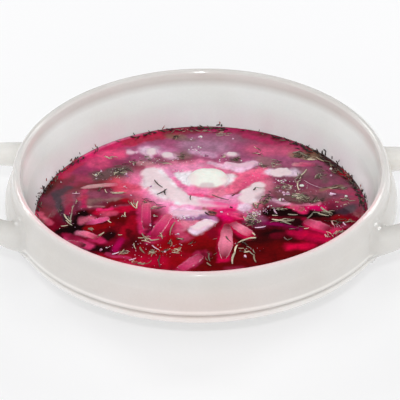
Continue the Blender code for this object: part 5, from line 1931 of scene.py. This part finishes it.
@dataclass
class Studio:
    """Camera, floor and soft light."""

    # the camera's angles in degrees, and where the dish sits in the photograph, in its pixels
    elevation: float = 33.34
    azimuth: float = 2.9
    roll: float = 0.9
    distance: float = 2.016
    lens: float = 390.8
    sensor: float = 36.0
    clip: Pair = (0.05, 50.0)
    aim_below_px: float = 31.8
    aim_left_px: float = 0.6
    frame_px: int = 400
    rim_height: float = 0.0433
    floor_half: float = 4.0
    floor_height: float = -0.0002
    floor_dark: Colour = (0.44, 0.443, 0.452)
    floor_bright: Colour = (0.47, 0.47, 0.476)
    # the direction towards which the sky dims
    dim_way: Corner = (0.0, 0.84, 0.54)
    lights: tuple[SoftLight, ...] = (
        SoftLight("key", (0.05, -1.50, 1.35), 0.11, 9.0),
        SoftLight("left", (-1.15, 0.90, 0.80), 0.7, 9.0),
        SoftLight("right", (1.15, 0.90, 0.80), 0.7, 9.0),
    )

    def camera(self) -> None:
        """Place the camera at the photograph's viewing angle."""
        a, e = math.radians(self.azimuth), math.radians(self.elevation)
        back = Vector((math.sin(a) * math.cos(e), -math.cos(a) * math.cos(e), math.sin(e)))
        right = Vector((math.cos(a), math.sin(a), 0))
        up = back.cross(right)
        target = Vector((0, 0, self.rim_height))
        eye = target + back * self.distance
        pixel = self.distance * self.sensor / (self.lens * self.frame_px)
        roll = math.radians(self.roll)
        turned_right = right * math.cos(roll) - up * math.sin(roll)
        turned_up = up * math.cos(roll) + right * math.sin(roll)
        aim = target - turned_up * (self.aim_below_px * pixel) - turned_right * (self.aim_left_px * pixel)
        away = (eye - aim).normalized()
        side = turned_up.cross(away).normalized()
        top = away.cross(side)
        data = bpy.data.cameras.new("camera")
        data.lens = self.lens
        data.sensor_width = self.sensor
        data.clip_start, data.clip_end = self.clip
        made = linked("camera", data)
        made.matrix_world = Matrix.Translation(eye) @ Matrix((side, top, away)).transposed().to_4x4()
        bpy.context.scene.camera = made

    def floor(self) -> None:
        """Lay the pale floor."""
        mesh = bpy.data.meshes.new("floor")
        half = self.floor_half
        corners = [(-half, -half, 0), (half, -half, 0), (half, half, 0), (-half, half, 0)]
        mesh.from_pydata(corners, [], [(0, 1, 2, 3)])
        recipe = Recipe("pale_floor")
        cloud = recipe.ramp(recipe.noise(scale=3.0, detail=2.0), 0.3, self.floor_dark, 0.7, self.floor_bright)
        recipe.link(cloud, recipe.shader.inputs["Base Color"])
        recipe.constant(Roughness=0.8, Emission_Color=(1.0, 1.0, 1.0, 1.0), Emission_Strength=0.48)
        mesh.materials.append(recipe.material)
        made = linked("floor", mesh)
        made.location.z = self.floor_height

    def sky(self) -> None:
        """Light the room softly from above and behind the camera, and leave it dim beyond the dish."""
        world = bpy.data.worlds.new("room")
        bpy.context.scene.world = world
        world.use_nodes = True
        tree = world.node_tree
        ground = tree.nodes["Background"]
        place = tree.nodes.new("ShaderNodeTexCoord")
        facing = tree.nodes.new("ShaderNodeVectorMath")
        facing.operation = "DOT_PRODUCT"
        facing.inputs[1].default_value = self.dim_way
        ramp = tree.nodes.new("ShaderNodeValToRGB")
        bright, dim = ramp.color_ramp.elements
        bright.position, bright.color = 0.50, (1.0, 1.0, 1.0, 1.0)
        dim.position, dim.color = 0.86, (0.06, 0.06, 0.06, 1.0)
        tree.links.new(place.outputs["Generated"], facing.inputs[0])
        tree.links.new(facing.outputs["Value"], ramp.inputs[0])
        tree.links.new(ramp.outputs[0], ground.inputs["Color"])
        ground.inputs["Strength"].default_value = 0.80

    def build(self) -> None:
        """Set up the whole studio."""
        self.camera()
        self.floor()
        self.sky()
        for light in self.lights:
            light.hang()
        bpy.context.scene.view_settings.view_transform = "Standard"
        bpy.context.scene.view_settings.look = "None"


# ---- The whole serving ----
def strips() -> tuple[Strip, ...]:
    """List the vegetable strips that reach the surface."""
    rows = (
        ("pale", -50, 25.8, 19.4, 12, 3.6, (ASH_ROSE, BISQUE, SALMON), 2.6, (0.12, 0.95)),
        ("left", -48.9, -3.2, 14, 25, 5, (CLARET, NEON, BLUSH), 3.6, (0.75, 0.6)),
        ("near_left", -52, -15.4, 12.2, -30, 4.8, (MALLOW, ROSY, CURRANT), 3.6, (0.6, 0.8)),
        ("edge_left", -57, -22.2, 10.8, -25, 4.8, (BRICK, BRICK, LOGANBERRY), 3.6, (0.5, 0.6)),
        ("upright", -25.7, 1.6, 25, -87, 5.6, (SALMON, PEONY, OXBLOOD), 3.6, (0.8, 0.6)),
        ("leaning", -18.6, -7, 23, 70, 6.2, (CURRANT, PEONY, SALMON), 3.6, (0.6, 0.7)),
        ("leaf", 11.9, -19, 32, -91, 7.4, (WINE, PETAL, WINE), 4, (0.22, 0.15)),
        ("chunk", 19.2, -8.4, 15, -47, 6.4, (MAROON, PETAL, RHUBARB), 3.6, (0.75, 0.8)),
        ("front", -3.4, -36.2, 16.4, 53, 6.6, (ROSE, BLUSH, MAROON), 3.6, (0.8, 0.6)),
        ("middle", 16, 3, 9.4, -19, 4.2, (FUCHSIA, FLAMINGO, CLARET), 3.6, (0.6, 0.6)),
        ("right", 54.4, -4.5, 15.8, -30, 7.2, (MAROON, LIP, WINE), 3.6, (0.8, 0.55)),
        ("short", 44.7, 9.5, 8.2, -29, 5, (PUCE, PEONY, RUST), 3.6, (0.7, 0.8)),
        ("back", 47.1, 46.7, 13.8, 0, 4.3, (ASH_ROSE, BLUSH, FIG), 3, (0.6, 0.8)),
    )
    return tuple(Strip(f"strip_{name}", *rest, seed) for seed, (name, *rest) in enumerate(rows))


def creams() -> tuple[CreamPatch, ...]:
    """List the patches of cream, the thick dollop first."""
    shell, milk, pink = SHELL_PINK, MILK, PINK_TINT
    curd = {"rise": 0.0012, "fade": 0.5, "ragged": 0.3}
    return (
        CreamPatch(
            "sour_cream", (Stroke(1, 32.5, 2.6, 32.5, 9.2),), WHITE, WHITE,
            rise=0.0034, power=0.62, ragged=0.05, seed=21, finish=Finish.THICK, slot="thick_cream",
            fade=0.16, depth=0.003, bumps=0.14, washes=DOLLOP_WASHES,
        ),
        CreamPatch(
            "cream_sweep",
            (
                Stroke(-26.2, 37.5, -22.2, 29.8, (5.2, 6.6)), Stroke(-22.2, 29.8, -16, 21.5, (6.6, 5.6)),
                Stroke(-16, 21.5, -8.5, 15, (5.6, 5)), Stroke(-8.5, 15, 1, 11.8, (5, 4)),
                Stroke(1, 11.8, 10.5, 10.8, (4, 2.6)),
            ),
            milk, pink, seed=31, fade=0.75, washes=SWEEP_WASHES,
        ),
        CreamPatch(
            "cream_lobe",
            (Stroke(26.2, 27.2, 23.4, 22.5, (4.2, 5.6)), Stroke(23.4, 22.5, 20.2, 16.8, (5.6, 4.8))),
            milk, pink, seed=37, fade=0.6,
        ),
        CreamPatch(
            "cream_crescent",
            (Stroke(10.5, 46.8, 16, 44.5, (1.8, 2.6)), Stroke(16, 44.5, 22.2, 46.6, (2.6, 2.2))),
            shell, shell, seed=41, fade=0.7, ragged=0.3,
        ),
        CreamPatch(
            "cream_pool", (Stroke(34.6, 39.2, 38.2, 39.2, 4),), milk, milk, seed=43, fade=0.35, ragged=0.4
        ),
        CreamPatch(
            "cream_froth", (Stroke(-12, 3.6, 0, 4.4, 2.8),), shell, shell, seed=47, fade=0.8, ragged=0.4
        ),
        CreamPatch(
            "cream_chip", (Stroke(-1.8, -8.5, 2.6, -4.5, 4),), milk, shell,
            seed=53, rise=0.0008, fade=0.5, ragged=0.35,
        ),
        CreamPatch(
            "curd_left", (Stroke(-36.6, 54.5, -35.8, 54.5, 2.1),), shell, shell, seed=59, rise=0.001, fade=0.6
        ),
        CreamPatch("curd_tall", (Stroke(-26.2, 54.6, -26.2, 56.4, 2.9),), milk, milk, seed=61, **curd),
        CreamPatch("curd_round", (Stroke(-18.5, 52.5, -18.3, 52.5, 3.1),), milk, milk, seed=67, **curd),
        CreamPatch("curd_right", (Stroke(12.1, 54, 12.7, 54, 2.8),), milk, shell, seed=71, **curd),
    )


def main() -> None:
    """Build every piece in order and report each one."""
    logging.basicConfig(level=logging.INFO, format="%(name)s %(message)s")
    Studio().build()
    Dish().build()
    soup = Soup(SoupPaint())
    soup.build()
    for afloat in (*creams(), *strips()):
        afloat.build(soup)
    Dill(soup.level).build()
    Froth(soup.level).build()


if __name__ == "__main__":
    main()
